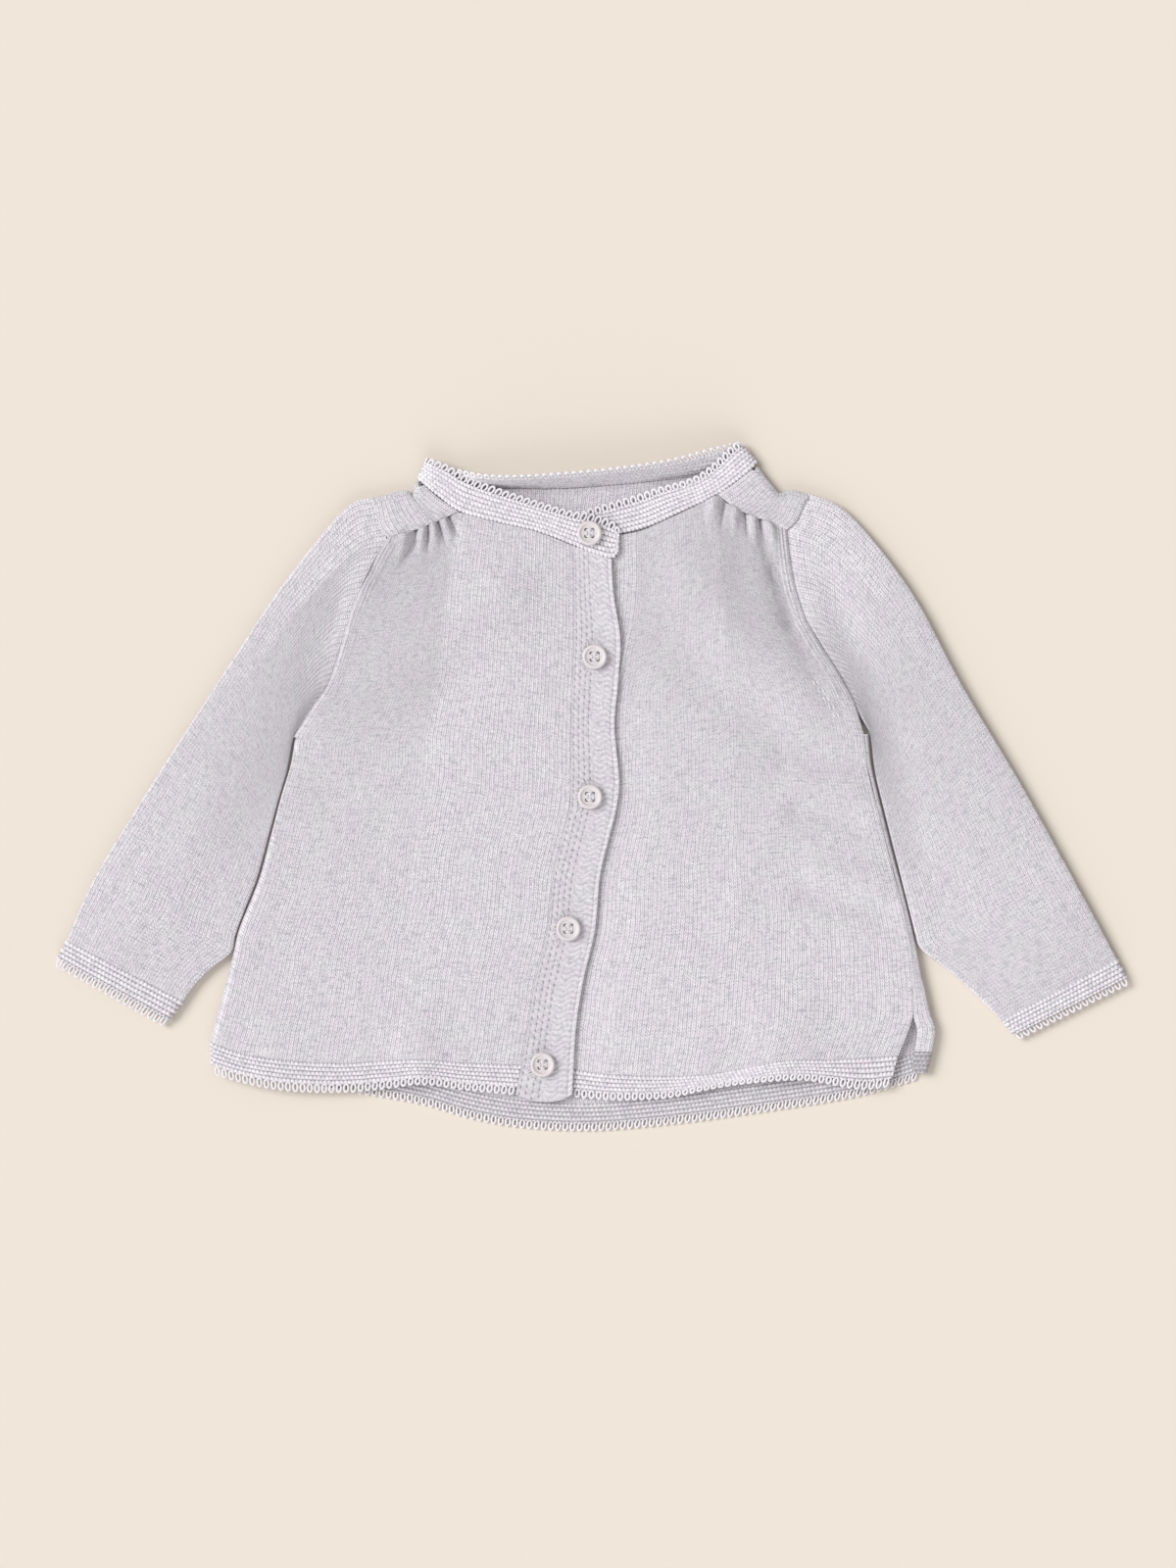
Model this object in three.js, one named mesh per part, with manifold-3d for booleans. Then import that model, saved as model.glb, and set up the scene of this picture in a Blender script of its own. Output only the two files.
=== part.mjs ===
// A baby's knitted cardigan, buttoned up and laid flat on its back, in millimetres.
// +X runs to the right as it is seen from above, +Y to the neck and +Z up from the table.
// "Left" and "right" are as seen from above. The left front lies over the right one.
import * as THREE from "three";
import { mergeVertices } from "three/addons/utils/BufferGeometryUtils.js";
import Module from "manifold-3d";

// Driving sizes
const CLOTH = 1.2; // thickness of the knit
const HALF_CLOTH = CLOTH / 2;
const SEAM_TRIM = 0.3; // each piece stops this far short of its seam line
const RIDGE = 0.4; // how far a garter or rib ridge stands out
const GARTER_ROWS = 10; // two rows for each of the five garter ridges of a band

// Heights of the middle of the cloth above the table
const BACK_Z = 0.6;
const UNDER_Z = 2.3; // the underlap and the right front beside it
const FRONT_Z = 4.3; // the fronts and the placket
const SLEEVE_Z = 3.8; // the upper layer of a sleeve
const UNDERLAP_RAMP = 20; // width over which the right front rises from UNDER_Z to FRONT_Z

// Side folds
const TUCK = 2.0; // how far the lower layer lies inside the edge that shows
const FOLD_STEPS = 4; // faces round half a turn
const UNDER_REACH = 9; // how far the left front wraps under, at the hem
const UNDER_SEAM_GAP = 0.4;
const SLEEVE_CLEAR = 1.5; // between a sleeve's inner edge and the side of the body

// Rows and columns
const UNDERARM_SHARE = 0.415; // the underarm's share of the way down a front's outer edge
const YOKE_SHARE = 0.55; // share of a front's columns that hang from its gathered yoke seam
const FRONT_COLUMNS = 20;
const SLEEVE_STEPS = 11; // across one layer
const SLEEVE_ROWS = 14;
const YOKE_STEP = 3; // the sleeve's step that meets the corner of the yoke
const LOWER_ROWS = 9; // rows of a front under the underarm
const GATHER_ROWS = [0, 0.012, 0.028, 0.05, 0.08, 0.12, 0.175, 0.25, 0.33]; // close under the gathers

// Button
const BUTTON_RADIUS = 5.65;
const BUTTON_HEIGHT = 2.3;
const BUTTON_SIDES = 20;
const HOLE_RADIUS = 0.85;
const HOLE_SPACING = 1.45; // from the middle, along X and along Y
const HOLE_SIDES = 6;
const BUTTON_GAP = 0.3;

// Outlines. Each row is a point on the garment, from the neck to the hem or from left to right.
const point = (x, y, z = 0) => ({ x, y, z });

const ARMHOLE = {
  left: {
    yoke: [point(-100.4, 132.2), point(-98.6, 125.9), point(-97.2, 119.6), point(-93.5, 114.1)],
    front: [
      point(-93.5, 114.1), point(-98.1, 107), point(-104.4, 94.3), point(-110.4, 80), point(-114.8, 63.7),
      point(-120.6, 46.1), point(-126.5, 37.5), point(-136.8, 22),
    ],
    back: [
      point(-100.4, 132.2), point(-103, 112), point(-109, 86), point(-117, 58), point(-126, 37),
      point(-131.6, 24),
    ],
  },
  right: {
    yoke: [point(98.9, 133.9), point(95.6, 126.5), point(93.4, 121.6), point(89.1, 117.5)],
    front: [
      point(89.1, 117.5), point(90.4, 105.7), point(92.8, 92), point(97.9, 76.3), point(103.8, 65.7),
      point(111.3, 53.8), point(119.5, 38.9), point(124.3, 24),
    ],
    back: [
      point(98.9, 133.9), point(98, 112), point(100.5, 86),
      point(107, 60), point(115, 40), point(120.5, 26),
    ],
  },
};

// The fold of the left front, and the seam line of the right front down to its slit
const SIDE = {
  left: [
    point(-136.8, 22), point(-138.8, 10), point(-143, -4), point(-147.2, -20), point(-153.5, -43),
    point(-162.6, -66), point(-165.3, -77.6), point(-171, -100), point(-175.8, -117),
  ],
  right: [
    point(124.3, 24), point(125.6, 10.6), point(128.4, -2.2), point(134.3, -26), point(144.4, -68.4),
    point(146.6, -90), point(146.8, -105), point(144, -114), point(140, -123.4),
  ],
};
// The back's own edge on the right: the same seam as far as the slit, then the slit
const STRIP_EDGE = [
  point(124.3, 24), point(125.6, 10.6), point(128.4, -2.2), point(134.3, -26), point(144.4, -68.4),
  point(146.6, -90), point(147.4, -106), point(148.9, -111), point(147.8, -121.5),
];
// Width of the strip of the back that folds forward beside that edge
const STRIP_WIDTH = [
  { y: -121.5, width: 9 }, { y: -108, width: 9.6 }, { y: -86, width: 5.4 }, { y: -68, width: 3.6 },
  { y: -28, width: 3 }, { y: 24, width: 3 },
];

const SHOULDER = {
  left: [
    point(-100.4, 132.2), point(-91.2, 134.6), point(-84.3, 135.6), point(-82.4, 132.6),
    point(-81.2, 137.4),
    point(-79.9, 140.4),
  ],
  right: [
    point(75.6, 147.2), point(78.6, 143), point(82.2, 138.6), point(85.9, 134.6), point(91.5, 136),
    point(98.9, 133.9),
  ],
};
const YOKE_SEAM = {
  left: [point(-93.5, 114.1), point(-83.1, 116.9), point(-71.6, 121.3), point(-61.3, 125.9)],
  right: [point(57.6, 133.8), point(66.2, 127.4), point(75.9, 123.2), point(89.1, 117.5)],
};
const NECK_SEAM = {
  leftFront: [point(-61.3, 125.9), point(-44, 121.5), point(-25, 117.1), point(-8.6, 110.8)],
  leftYoke: [point(-61.3, 125.9), point(-70.5, 132.2), point(-79.9, 140.4)],
  rightFront: [point(20.6, 117.4), point(25.5, 119.2), point(38.1, 124.7), point(57.6, 133.8)],
  rightYoke: [point(57.6, 133.8), point(65, 138.6), point(75.6, 147.2)],
  back: [
    point(-79.4, 137.6), point(-67, 136.2), point(-38.9, 136.4), point(-12.4, 136.6), point(12.9, 138.4),
    point(38.1, 141), point(60, 143.8), point(75, 144.6),
  ],
};

// The two edges of each placket, from its neck end to its hem end
const PLACKET_OVER = [
  { y: 100, left: -8.4, right: 9 }, { y: 88, left: -8.3, right: 9.8 }, { y: 67, left: -8.3, right: 12.9 },
  { y: 47, left: -9, right: 11.8 }, { y: 28, left: -9.5, right: 10.2 }, { y: 1.6, left: -9.7, right: 12.4 },
  { y: -10, left: -10.4, right: 11 }, { y: -25.7, left: -14.2, right: 7.1 },
  { y: -40, left: -17.6, right: 3.7 },
  { y: -65.7, left: -20.5, right: 1.2 }, { y: -88.9, left: -26, right: -4.1 },
  { y: -110, left: -29.4, right: -7.4 },
  { y: -127.3, left: -32.3, right: -8.5 }, { y: -141, left: -35, right: -9.2 },
];
const PLACKET_UNDER = [
  { y: 100, left: -1, right: 21 }, { y: 85, left: -1.5, right: 20.3 },
  { y: 70, left: -3, right: 18.2 }, { y: 55, left: -6, right: 15 }, { y: 40, left: -9, right: 11 },
  { y: 10, left: -11, right: 9.6 }, { y: -10, left: -12, right: 9 }, { y: -40, left: -18, right: 2 },
  { y: -65.7, left: -21, right: -0.6 }, { y: -88.9, left: -26, right: -6 },
  { y: -110, left: -29.4, right: -9 },
  { y: -130, left: -31.5, right: -10.4 }, { y: -140, left: -32, right: -11 },
];

// Where each placket meets the neckband
const PLACKET_NECK = {
  over: { left: point(-8.6, 110.2), right: point(8.9, 104) },
  under: { left: point(-1.5, 112.9), right: point(20.6, 116.6) },
};

// Hem bands: the seam with the panel above, and the free edge
const HEM = {
  left: {
    top: [
      point(-175.8, -117), point(-160, -122.5), point(-140, -125.5), point(-115, -126.8),
      point(-95, -125.7),
      point(-78.5, -124.9), point(-57.8, -126.6), point(-32.3, -127.3),
    ],
    bottom: [
      point(-175.2, -130.6), point(-160, -135), point(-140, -138.6), point(-115, -139.4),
      point(-95, -137.7),
      point(-78.5, -135.6), point(-57.8, -138.2), point(-34.8, -140.3),
    ],
  },
  right: {
    top: [
      point(-10.4, -129.8), point(11, -132.2), point(45.9, -132.6), point(65.6, -130.1),
      point(87.3, -125.7),
      point(109.2, -125.3), point(140, -123.4),
    ],
    bottom: [
      point(-11, -141.6), point(11, -143.1), point(35, -142.1), point(52, -138.6), point(71, -135.5),
      point(96.1, -133.9), point(124.4, -138.2), point(136.6, -136.8),
    ],
  },
  back: {
    top: [
      point(-166.5, -116.8), point(-140, -122.5), point(-110.5, -127.7), point(-78.5, -133.4),
      point(-57.8, -139.4),
      point(-37.2, -143.5), point(-5, -145.5), point(25.2, -143.7), point(76.5, -137.1),
      point(125.6, -128.9),
      point(156.8, -121.5),
    ],
    bottom: [
      point(-166.5, -128.8), point(-140, -134.5), point(-110.5, -139.7), point(-78.5, -145.4),
      point(-57.8, -151.4),
      point(-37.2, -155.5), point(-5, -157.5), point(25.2, -155.7), point(76.5, -149.1),
      point(125.6, -140.9),
      point(153.5, -134),
    ],
  },
};

// Sleeves: the fold at the outer edge, the fold at the inner edge, and the ends of the cuff
const SLEEVE = {
  left: {
    outer: [
      point(-100.4, 132.2), point(-109.6, 129.4), point(-121.8, 117), point(-143.9, 88.5),
      point(-164.1, 58),
      point(-185, 26.1), point(-208, -10), point(-228.4, -44), point(-240.3, -70.8),
    ],
    inner: [point(-165.6, -75.2), point(-173.6, -81.8), point(-182.4, -90.4), point(-187.9, -98.3)],
    cuffOuter: point(-246.1, -81.2),
    cuffInner: point(-196, -109.4),
  },
  right: {
    outer: [
      point(98.9, 133.9), point(112.1, 128.7), point(124.4, 117.2), point(146.7, 87.5), point(168.8, 46.6),
      point(195.3, 2), point(216.5, -36), point(240.2, -79.4),
    ],
    inner: [point(150.6, -73.4), point(166.8, -86.3), point(181.4, -100), point(188.2, -107)],
    cuffOuter: point(246, -90),
    cuffInner: point(195.2, -115.6),
  },
};

// The neckband, station by station from the end that carries the top button, round the left corner, along
// the back, round the right corner and down to the end that lies underneath. l is its seam, u its free edge.
const NECKBAND = [
  { lx: 12, ly: 108.6, lz: 4.5, ux: 12.6, uy: 117, uz: 4.5 },
  { lx: 9.8, ly: 105.4, lz: 4.5, ux: 10.4, uy: 120.6, uz: 4.5 },
  { lx: 0.2, ly: 107.4, lz: 4.5, ux: 0.2, uy: 124.7, uz: 4.5 },
  { lx: -8.6, ly: 111.2, lz: 4.5, ux: -9.9, uy: 126.2, uz: 4.6 },
  { lx: -25, ly: 117.5, lz: 4.4, ux: -25, uy: 130.6, uz: 4.8 },
  { lx: -44, ly: 121.9, lz: 4.4, ux: -44, uy: 136.9, uz: 5.2 },
  { lx: -60.4, ly: 126.6, lz: 4.4, ux: -57.9, uy: 142.4, uz: 5.6 },
  { lx: -69.8, ly: 133.2, lz: 4.3, ux: -66.5, uy: 147.2, uz: 6 },
  { lx: -77, ly: 139.2, lz: 4.3, ux: -73, uy: 149.5, uz: 6 },
  { lx: -79, ly: 141, lz: 3.6, ux: -74.8, uy: 150.3, uz: 5 },
  { lx: -79.2, ly: 141.4, lz: 2.4, ux: -75, uy: 150.2, uz: 3.6 },
  { lx: -77.6, ly: 138.8, lz: 0.9, ux: -72.6, uy: 148.6, uz: 2.6 },
  { lx: -67, ly: 137.2, lz: 0.9, ux: -65.6, uy: 146.4, uz: 3.4 },
  { lx: -52, ly: 137.3, lz: 0.9, ux: -51, uy: 142.6, uz: 9.6 },
  { lx: -38.9, ly: 137.3, lz: 0.9, ux: -37.7, uy: 141.6, uz: 12.6 },
  { lx: -12.4, ly: 137.5, lz: 0.9, ux: -12.4, uy: 143, uz: 12.9 },
  { lx: 12.9, ly: 139.3, lz: 0.9, ux: 12.9, uy: 145.5, uz: 12.7 },
  { lx: 38.1, ly: 141.9, lz: 0.9, ux: 36, uy: 149.2, uz: 11.6 },
  { lx: 60, ly: 144.7, lz: 0.9, ux: 56, uy: 154.8, uz: 8.6 },
  { lx: 72.8, ly: 146.8, lz: 0.9, ux: 64.6, uy: 157.1, uz: 4.6 },
  { lx: 75, ly: 148.8, lz: 2.4, ux: 67.2, uy: 157.6, uz: 4.4 },
  { lx: 74.6, ly: 148.4, lz: 3.7, ux: 66.8, uy: 157.3, uz: 5.6 },
  { lx: 72.6, ly: 146, lz: 4.3, ux: 64.4, uy: 156.2, uz: 6.4 },
  { lx: 63.6, ly: 138.8, lz: 4.3, ux: 54.2, uy: 146.4, uz: 5.4 },
  { lx: 56.4, ly: 133.9, lz: 4.2, ux: 46.4, uy: 141.4, uz: 4.8 },
  { lx: 38.1, ly: 125.3, lz: 3.7, ux: 29, uy: 136.4, uz: 3.7 },
  { lx: 25.5, ly: 119.8, lz: 2.5, ux: 20, uy: 133.4, uz: 2.7 },
  { lx: 13.5, ly: 116.8, lz: 2.3, ux: 8.6, uy: 130, uz: 2.4 },
  { lx: -1.5, ly: 114.4, lz: 2.3, ux: -4, uy: 126, uz: 2.3 },
  { lx: -7, ly: 113.4, lz: 2.3, ux: -8.4, uy: 123.6, uz: 2.3 },
];
const NECKBAND_COLUMNS = 58;

const BUTTONS = [
  { name: "button_1", x: -1.2, y: 115.9 },
  { name: "button_2", x: 1.2, y: 59.4 },
  { name: "button_3", x: -0.9, y: -4.7 },
  { name: "button_4", x: -10.8, y: -65 },
  { name: "button_5", x: -22.6, y: -127.2 },
];

// Folds: each row is a soft ridge, or a trough where its height is below 0, along a line on the garment
const fold = (x0, y0, x1, y1, width, height) => ({ x0, y0, x1, y1, width, height });

const LEFT_FOLDS = [
  fold(-85.6, 117, -89, 104, 2.3, 1.3), fold(-80.2, 118, -81, 111.6, 1.5, -1.2),
  fold(-81, 111.6, -90, 98.9, 1.8, -1), fold(-77.6, 119, -79.5, 107, 1.7, 1.2),
  fold(-74.9, 120.4, -75.6, 108, 1.2, -1.2), fold(-73, 121, -71.6, 109, 1.5, 1.2),
  fold(-70.9, 122.2, -66.8, 110.5, 1.2, -1.3), fold(-68.4, 123.4, -64, 111, 1.6, 1.1),
  fold(-65.6, 123.4, -60.6, 114, 1.4, -0.9),
  fold(-98.5, 93.4, -70, 106, 6, -0.7), fold(-119, 40, -45, 92, 19, 1.7), fold(-128, 2, -46, 62, 11, -0.8),
  fold(-104, -28, -78, 15, 8, -0.5), fold(-79.5, -141, -80, -116, 10, 3),
  fold(-150, -140, -146, -112, 16, 1.2),
  fold(12, 97, 13, 72, 6, 2.4), fold(-171, -118, -150, -30, 10, 0.7),
];
const RIGHT_FOLDS = [
  fold(55.6, 131, 53.4, 119, 2.2, 1), fold(60.6, 129, 58.6, 116, 1.5, -1.1),
  fold(65.4, 126.6, 64.6, 115, 2, 1.2),
  fold(70.2, 125, 71.2, 114, 1.4, -1.2), fold(73.6, 123.6, 74.6, 110, 1.7, 1.1),
  fold(76.7, 122.4, 78.6, 113, 1.3, -1.2),
  fold(78.6, 113, 86, 98, 2.4, -1.3), fold(86, 98, 94, 74, 3, -1.3), fold(94, 74, 106, 44, 3, -0.9),
  fold(73, 108, 82, 80, 7, 1.1), fold(81.2, 120.4, 84.4, 108, 1.8, 1.2), fold(48, 96, 98, 42, 17, 1.2),
  fold(30, 72, 92, 14, 10, -0.8), fold(88, 18, 104, 16, 6, -0.7), fold(96, -15, 118, -18, 5, -0.9),
  fold(106, -53, 132, -57, 5, -0.9), fold(98, 2, 120, -1, 6, 0.7), fold(108, -35, 130, -38, 7, 0.7),
  fold(92.7, 3.4, 61.2, -62, 6, 0.8), fold(84, -140, 88, -112, 17, 3.6), fold(50, -142, 52, -118, 9, 1),
];
const SLEEVE_FOLDS = {
  left: [
    fold(-120, 102, -212, -58, 26, 1.8), fold(-118, 98, -132, 48, 7, -0.5),
    fold(-140, 24, -156, -30, 8, -0.5),
    fold(-176, 6, -190, -60, 9, 0.6), fold(-205, -50, -222, -78, 8, 0.6),
  ],
  right: [
    fold(132, 88, 214, -66, 25, 1.9), fold(108, 92, 114, 74, 6, -0.6), fold(114, 74, 138, 12, 9, -0.7),
    fold(138, 12, 150, -40, 9, -0.5), fold(168, -20, 196, -84, 10, 0.6),
  ],
};
const ARMHOLE_RIDGE = { inset: 2.6, width: 2, height: 0.9 };

// Curves

// A smooth line through a table's points, read at a share of its length from 0 to 1.
function smoothLine(points) {
  const curve = new THREE.CatmullRomCurve3(
    points.map((p) => new THREE.Vector3(p.x, p.y, p.z)),
    false,
    "centripetal",
  );
  return (share) => curve.getPointAt(THREE.MathUtils.clamp(share, 0, 1));
}

// Two lines end to end, the first of which takes this share of the way.
function joined(first, second, share) {
  return (t) => (t <= share ? first(t / share) : second((t - share) / (1 - share)));
}

const reversed = (line) => (t) => line(1 - t);

const between = (a, b) => (t) => new THREE.Vector3().lerpVectors(a, b, t);

// A table's value at a height y, straight between its rows. The rows may run up or down.
function tableAt(rows, y, column) {
  const sorted = [...rows].sort((a, b) => a.y - b.y);
  if (y <= sorted[0].y) return sorted[0][column];
  for (let i = 1; i < sorted.length; i += 1) {
    const low = sorted[i - 1];
    const high = sorted[i];
    if (y <= high.y) {
      return THREE.MathUtils.mapLinear(y, low.y, high.y, low[column], high[column]);
    }
  }
  return sorted[sorted.length - 1][column];
}

// A surface in plan stretched between four lines that meet at its corners: s runs along top and bottom,
// v runs down left and right. reach says how far the shape of the top has given way to that of the bottom.
function patch({ top, bottom, left, right, reach = (v) => v }) {
  const corner = { tl: top(0), tr: top(1), bl: bottom(0), br: bottom(1) };
  return (s, v) => {
    const across = new THREE.Vector3().lerpVectors(left(v), right(v), s);
    const down = new THREE.Vector3().lerpVectors(top(s), bottom(s), reach(v));
    const upper = new THREE.Vector3().lerpVectors(corner.tl, corner.tr, s);
    const lower = new THREE.Vector3().lerpVectors(corner.bl, corner.br, s);
    return across.add(down).sub(upper.lerp(lower, reach(v)));
  };
}

// Heights

function distanceToLine(x, y, line) {
  const dx = line.x1 - line.x0;
  const dy = line.y1 - line.y0;
  const share = THREE.MathUtils.clamp(((x - line.x0) * dx + (y - line.y0) * dy) / (dx * dx + dy * dy), 0, 1);
  return Math.hypot(x - line.x0 - share * dx, y - line.y0 - share * dy);
}

function foldHeight(x, y, folds) {
  let height = 0;
  for (const row of folds) {
    height += row.height * Math.exp(-((distanceToLine(x, y, row) / row.width) ** 2));
  }
  return height;
}

// The raised wales beside an armhole seam
function armholeRidge(x, y, points) {
  let nearest = Infinity;
  for (let i = 1; i < points.length; i += 1) {
    const line = { x0: points[i - 1].x, y0: points[i - 1].y, x1: points[i].x, y1: points[i].y };
    nearest = Math.min(nearest, distanceToLine(x, y, line));
  }
  return ARMHOLE_RIDGE.height * Math.exp(-(((nearest - ARMHOLE_RIDGE.inset) / ARMHOLE_RIDGE.width) ** 2));
}

const frontHeight = {
  left: (x, y) => FRONT_Z + foldHeight(x, y, LEFT_FOLDS) + armholeRidge(x, y, ARMHOLE.left.front),
  right: (x, y) => {
    const past = x - Math.max(tableAt(PLACKET_OVER, y, "right"), tableAt(PLACKET_UNDER, y, "right")) - 1;
    const share = THREE.MathUtils.smoothstep(past, 0, UNDERLAP_RAMP);
    const lifted = foldHeight(x, y, RIGHT_FOLDS) + armholeRidge(x, y, ARMHOLE.right.front);
    return UNDER_Z + share * (FRONT_Z - UNDER_Z + lifted);
  },
};
const sleeveHeight = {
  left: (x, y) => SLEEVE_Z + foldHeight(x, y, SLEEVE_FOLDS.left),
  right: (x, y) => SLEEVE_Z + foldHeight(x, y, SLEEVE_FOLDS.right),
};

// Walls

const place = (p, z) => new THREE.Vector3(p.x, p.y, z);

function geometryOf(vertices, faces) {
  const geometry = new THREE.BufferGeometry();
  const coordinates = vertices.flatMap((vertex) => vertex.toArray());
  geometry.setAttribute("position", new THREE.Float32BufferAttribute(coordinates, 3));
  let volume = 0;
  for (const [a, b, c] of faces) {
    volume += new THREE.Vector3().crossVectors(vertices[b], vertices[c]).dot(vertices[a]);
  }
  geometry.setIndex(faces.flatMap(([a, b, c]) => (volume > 0 ? [a, b, c] : [a, c, b])));
  geometry.computeVertexNormals();
  return geometry;
}

// Normals of a grid of points, each the sum over the cells around it that are cloth.
function gridNormals(grid, isCloth, closed) {
  const columns = grid[0].length;
  const normals = grid.map((row) => row.map(() => new THREE.Vector3()));
  for (let r = 0; r + 1 < grid.length; r += 1) {
    for (let c = 0; c < (closed ? columns : columns - 1); c += 1) {
      if (!isCloth(r, c)) continue;
      const d = (c + 1) % columns;
      const one = new THREE.Vector3().subVectors(grid[r + 1][d], grid[r][c]);
      const other = new THREE.Vector3().subVectors(grid[r + 1][c], grid[r][d]);
      const normal = one.cross(other).normalize();
      for (const [i, j] of [[r, c], [r, d], [r + 1, c], [r + 1, d]]) normals[i][j].add(normal);
    }
  }
  for (const row of normals) {
    for (const normal of row) normal.normalize();
  }
  return normals;
}

// A wall of cloth about a grid of points. isCloth says which cells are there, rise how far the outer face
// stands out at a point, and closed joins the last column to the first.
function wall(grid, options = {}) {
  const { isCloth = () => true, rise = () => 0, innerRise = () => 0, inward = 1, closed = false } = options;
  const columns = grid[0].length;
  const cells = closed ? columns : columns - 1;
  const normals = gridNormals(grid, isCloth, closed);
  const vertices = [];
  const index = new Map();
  const corner = (layer, r, c) => {
    const key = `${layer} ${r} ${c}`;
    if (!index.has(key)) {
      const reach = layer === "outer" ? HALF_CLOTH + rise(r, c) : -HALF_CLOTH - innerRise(r, c);
      index.set(key, vertices.length);
      vertices.push(grid[r][c].clone().addScaledVector(normals[r][c], reach * inward));
    }
    return index.get(key);
  };
  const faces = [];
  const quad = (a, b, c, d) => faces.push([a, b, c], [a, c, d]);
  const there = (r, c) => {
    const k = closed ? (c + columns) % columns : c;
    return r >= 0 && r + 1 < grid.length && k >= 0 && k < cells && isCloth(r, k);
  };
  for (let r = 0; r + 1 < grid.length; r += 1) {
    for (let c = 0; c < cells; c += 1) {
      if (!isCloth(r, c)) continue;
      const d = (c + 1) % columns;
      const around = [[r, c], [r, d], [r + 1, d], [r + 1, c]];
      const beside = [[r - 1, c], [r, c + 1], [r + 1, c], [r, c - 1]];
      quad(...around.map(([i, j]) => corner("outer", i, j)));
      quad(...around.map(([i, j]) => corner("inner", i, j)).reverse());
      for (let side = 0; side < around.length; side += 1) {
        if (there(...beside[side])) continue;
        const from = around[side];
        const to = around[(side + 1) % around.length];
        quad(
          corner("outer", ...to), corner("outer", ...from),
          corner("inner", ...from), corner("inner", ...to),
        );
      }
    }
  }
  return geometryOf(vertices, faces);
}

// A band of cloth with ridges along it. Its inner face is plain and has only the rows that plainRows names.
function ridgedBand(grid, { rise, plainRows, inward = 1, closed = false }) {
  const columns = grid[0].length;
  const cells = closed ? columns : columns - 1;
  const normals = gridNormals(grid, () => true, closed);
  const vertices = [];
  const outer = grid.map((row, r) =>
    row.map((p, c) => {
      const away = inward * (HALF_CLOTH + rise(r, c));
      return vertices.push(p.clone().addScaledVector(normals[r][c], away)) - 1;
    }),
  );
  const inner = plainRows.map((r) =>
    grid[r].map((p, c) => vertices.push(p.clone().addScaledVector(normals[r][c], -inward * HALF_CLOTH)) - 1),
  );
  const faces = [];
  const quad = (a, b, c, d) => faces.push([a, b, c], [a, c, d]);
  const last = grid.length - 1;
  const lastPlain = plainRows.length - 1;
  for (let c = 0; c < cells; c += 1) {
    const d = (c + 1) % columns;
    for (let r = 0; r < last; r += 1) quad(outer[r][c], outer[r][d], outer[r + 1][d], outer[r + 1][c]);
    for (let r = 0; r < lastPlain; r += 1) quad(inner[r][c], inner[r + 1][c], inner[r + 1][d], inner[r][d]);
    quad(outer[0][d], outer[0][c], inner[0][c], inner[0][d]);
    quad(outer[last][c], outer[last][d], inner[lastPlain][d], inner[lastPlain][c]);
  }
  if (!closed) {
    const end = columns - 1;
    for (let k = 0; k < lastPlain; k += 1) {
      for (let r = plainRows[k]; r < plainRows[k + 1]; r += 1) {
        faces.push([inner[k][0], outer[r][0], outer[r + 1][0]]);
        faces.push([inner[k][end], outer[r + 1][end], outer[r][end]]);
      }
      faces.push([inner[k][0], outer[plainRows[k + 1]][0], inner[k + 1][0]]);
      faces.push([inner[k][end], inner[k + 1][end], outer[plainRows[k + 1]][end]]);
    }
  }
  return geometryOf(vertices, faces);
}

const garterRise = (row) => (row % 2 === 1 ? RIDGE : 0);
const shares = (count) => Array.from({ length: count + 1 }, (_, i) => i / count);
const trimmed = (share, length) => THREE.MathUtils.lerp(SEAM_TRIM / length, 1 - SEAM_TRIM / length, share);

// Half a turn from the lower layer up to an edge's upper layer, as insets from the edge and heights.
// tuck is how far the lower layer lies inside the upper one.
function halfTurn(upperZ, tuck = TUCK) {
  const radius = (upperZ - BACK_Z) / 2;
  return shares(FOLD_STEPS).map((share) => {
    const angle = Math.PI * (share - 0.5);
    const turn = radius * (1 - Math.cos(angle));
    const tucked = (tuck * (1 - Math.sin(angle))) / 2;
    return { inset: HALF_CLOTH + turn + tucked, z: BACK_Z + radius * (1 + Math.sin(angle)) };
  });
}

// Panels

const armholeFront = { left: smoothLine(ARMHOLE.left.front), right: smoothLine(ARMHOLE.right.front) };
const armholeYoke = { left: smoothLine(ARMHOLE.left.yoke), right: smoothLine(ARMHOLE.right.yoke) };
const shoulderInset = halfTurn(FRONT_Z, 0)[0].inset;
// The back's armhole starts where its flat meets the turn of the shoulder fold
const backArmhole = ([top, ...rows]) => smoothLine([point(top.x, top.y - shoulderInset), ...rows]);
const armholeBack = { left: backArmhole(ARMHOLE.left.back), right: backArmhole(ARMHOLE.right.back) };
const sideLine = { left: smoothLine(SIDE.left), right: smoothLine(SIDE.right) };
const yokeSeam = { left: smoothLine(YOKE_SEAM.left), right: smoothLine(YOKE_SEAM.right) };
const placketLine = (table, neck, column) =>
  smoothLine([neck[column], ...table.map((row) => point(row[column], row.y))]);
const overLeft = placketLine(PLACKET_OVER, PLACKET_NECK.over, "left");
const overRight = placketLine(PLACKET_OVER, PLACKET_NECK.over, "right");
const underLeft = placketLine(PLACKET_UNDER, PLACKET_NECK.under, "left");
const underRight = placketLine(PLACKET_UNDER, PLACKET_NECK.under, "right");

const lowerRows = shares(LOWER_ROWS).map((t) => UNDERARM_SHARE + (1 - UNDERARM_SHARE) * t);
const frontRows = [...GATHER_ROWS, ...lowerRows];
const UNDERARM_ROW = GATHER_ROWS.length;

// Share of a placket's edge at which it passes from the panel to the hem band
const HEM_SHARE = { over: 0.946, under: 0.961 };

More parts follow.
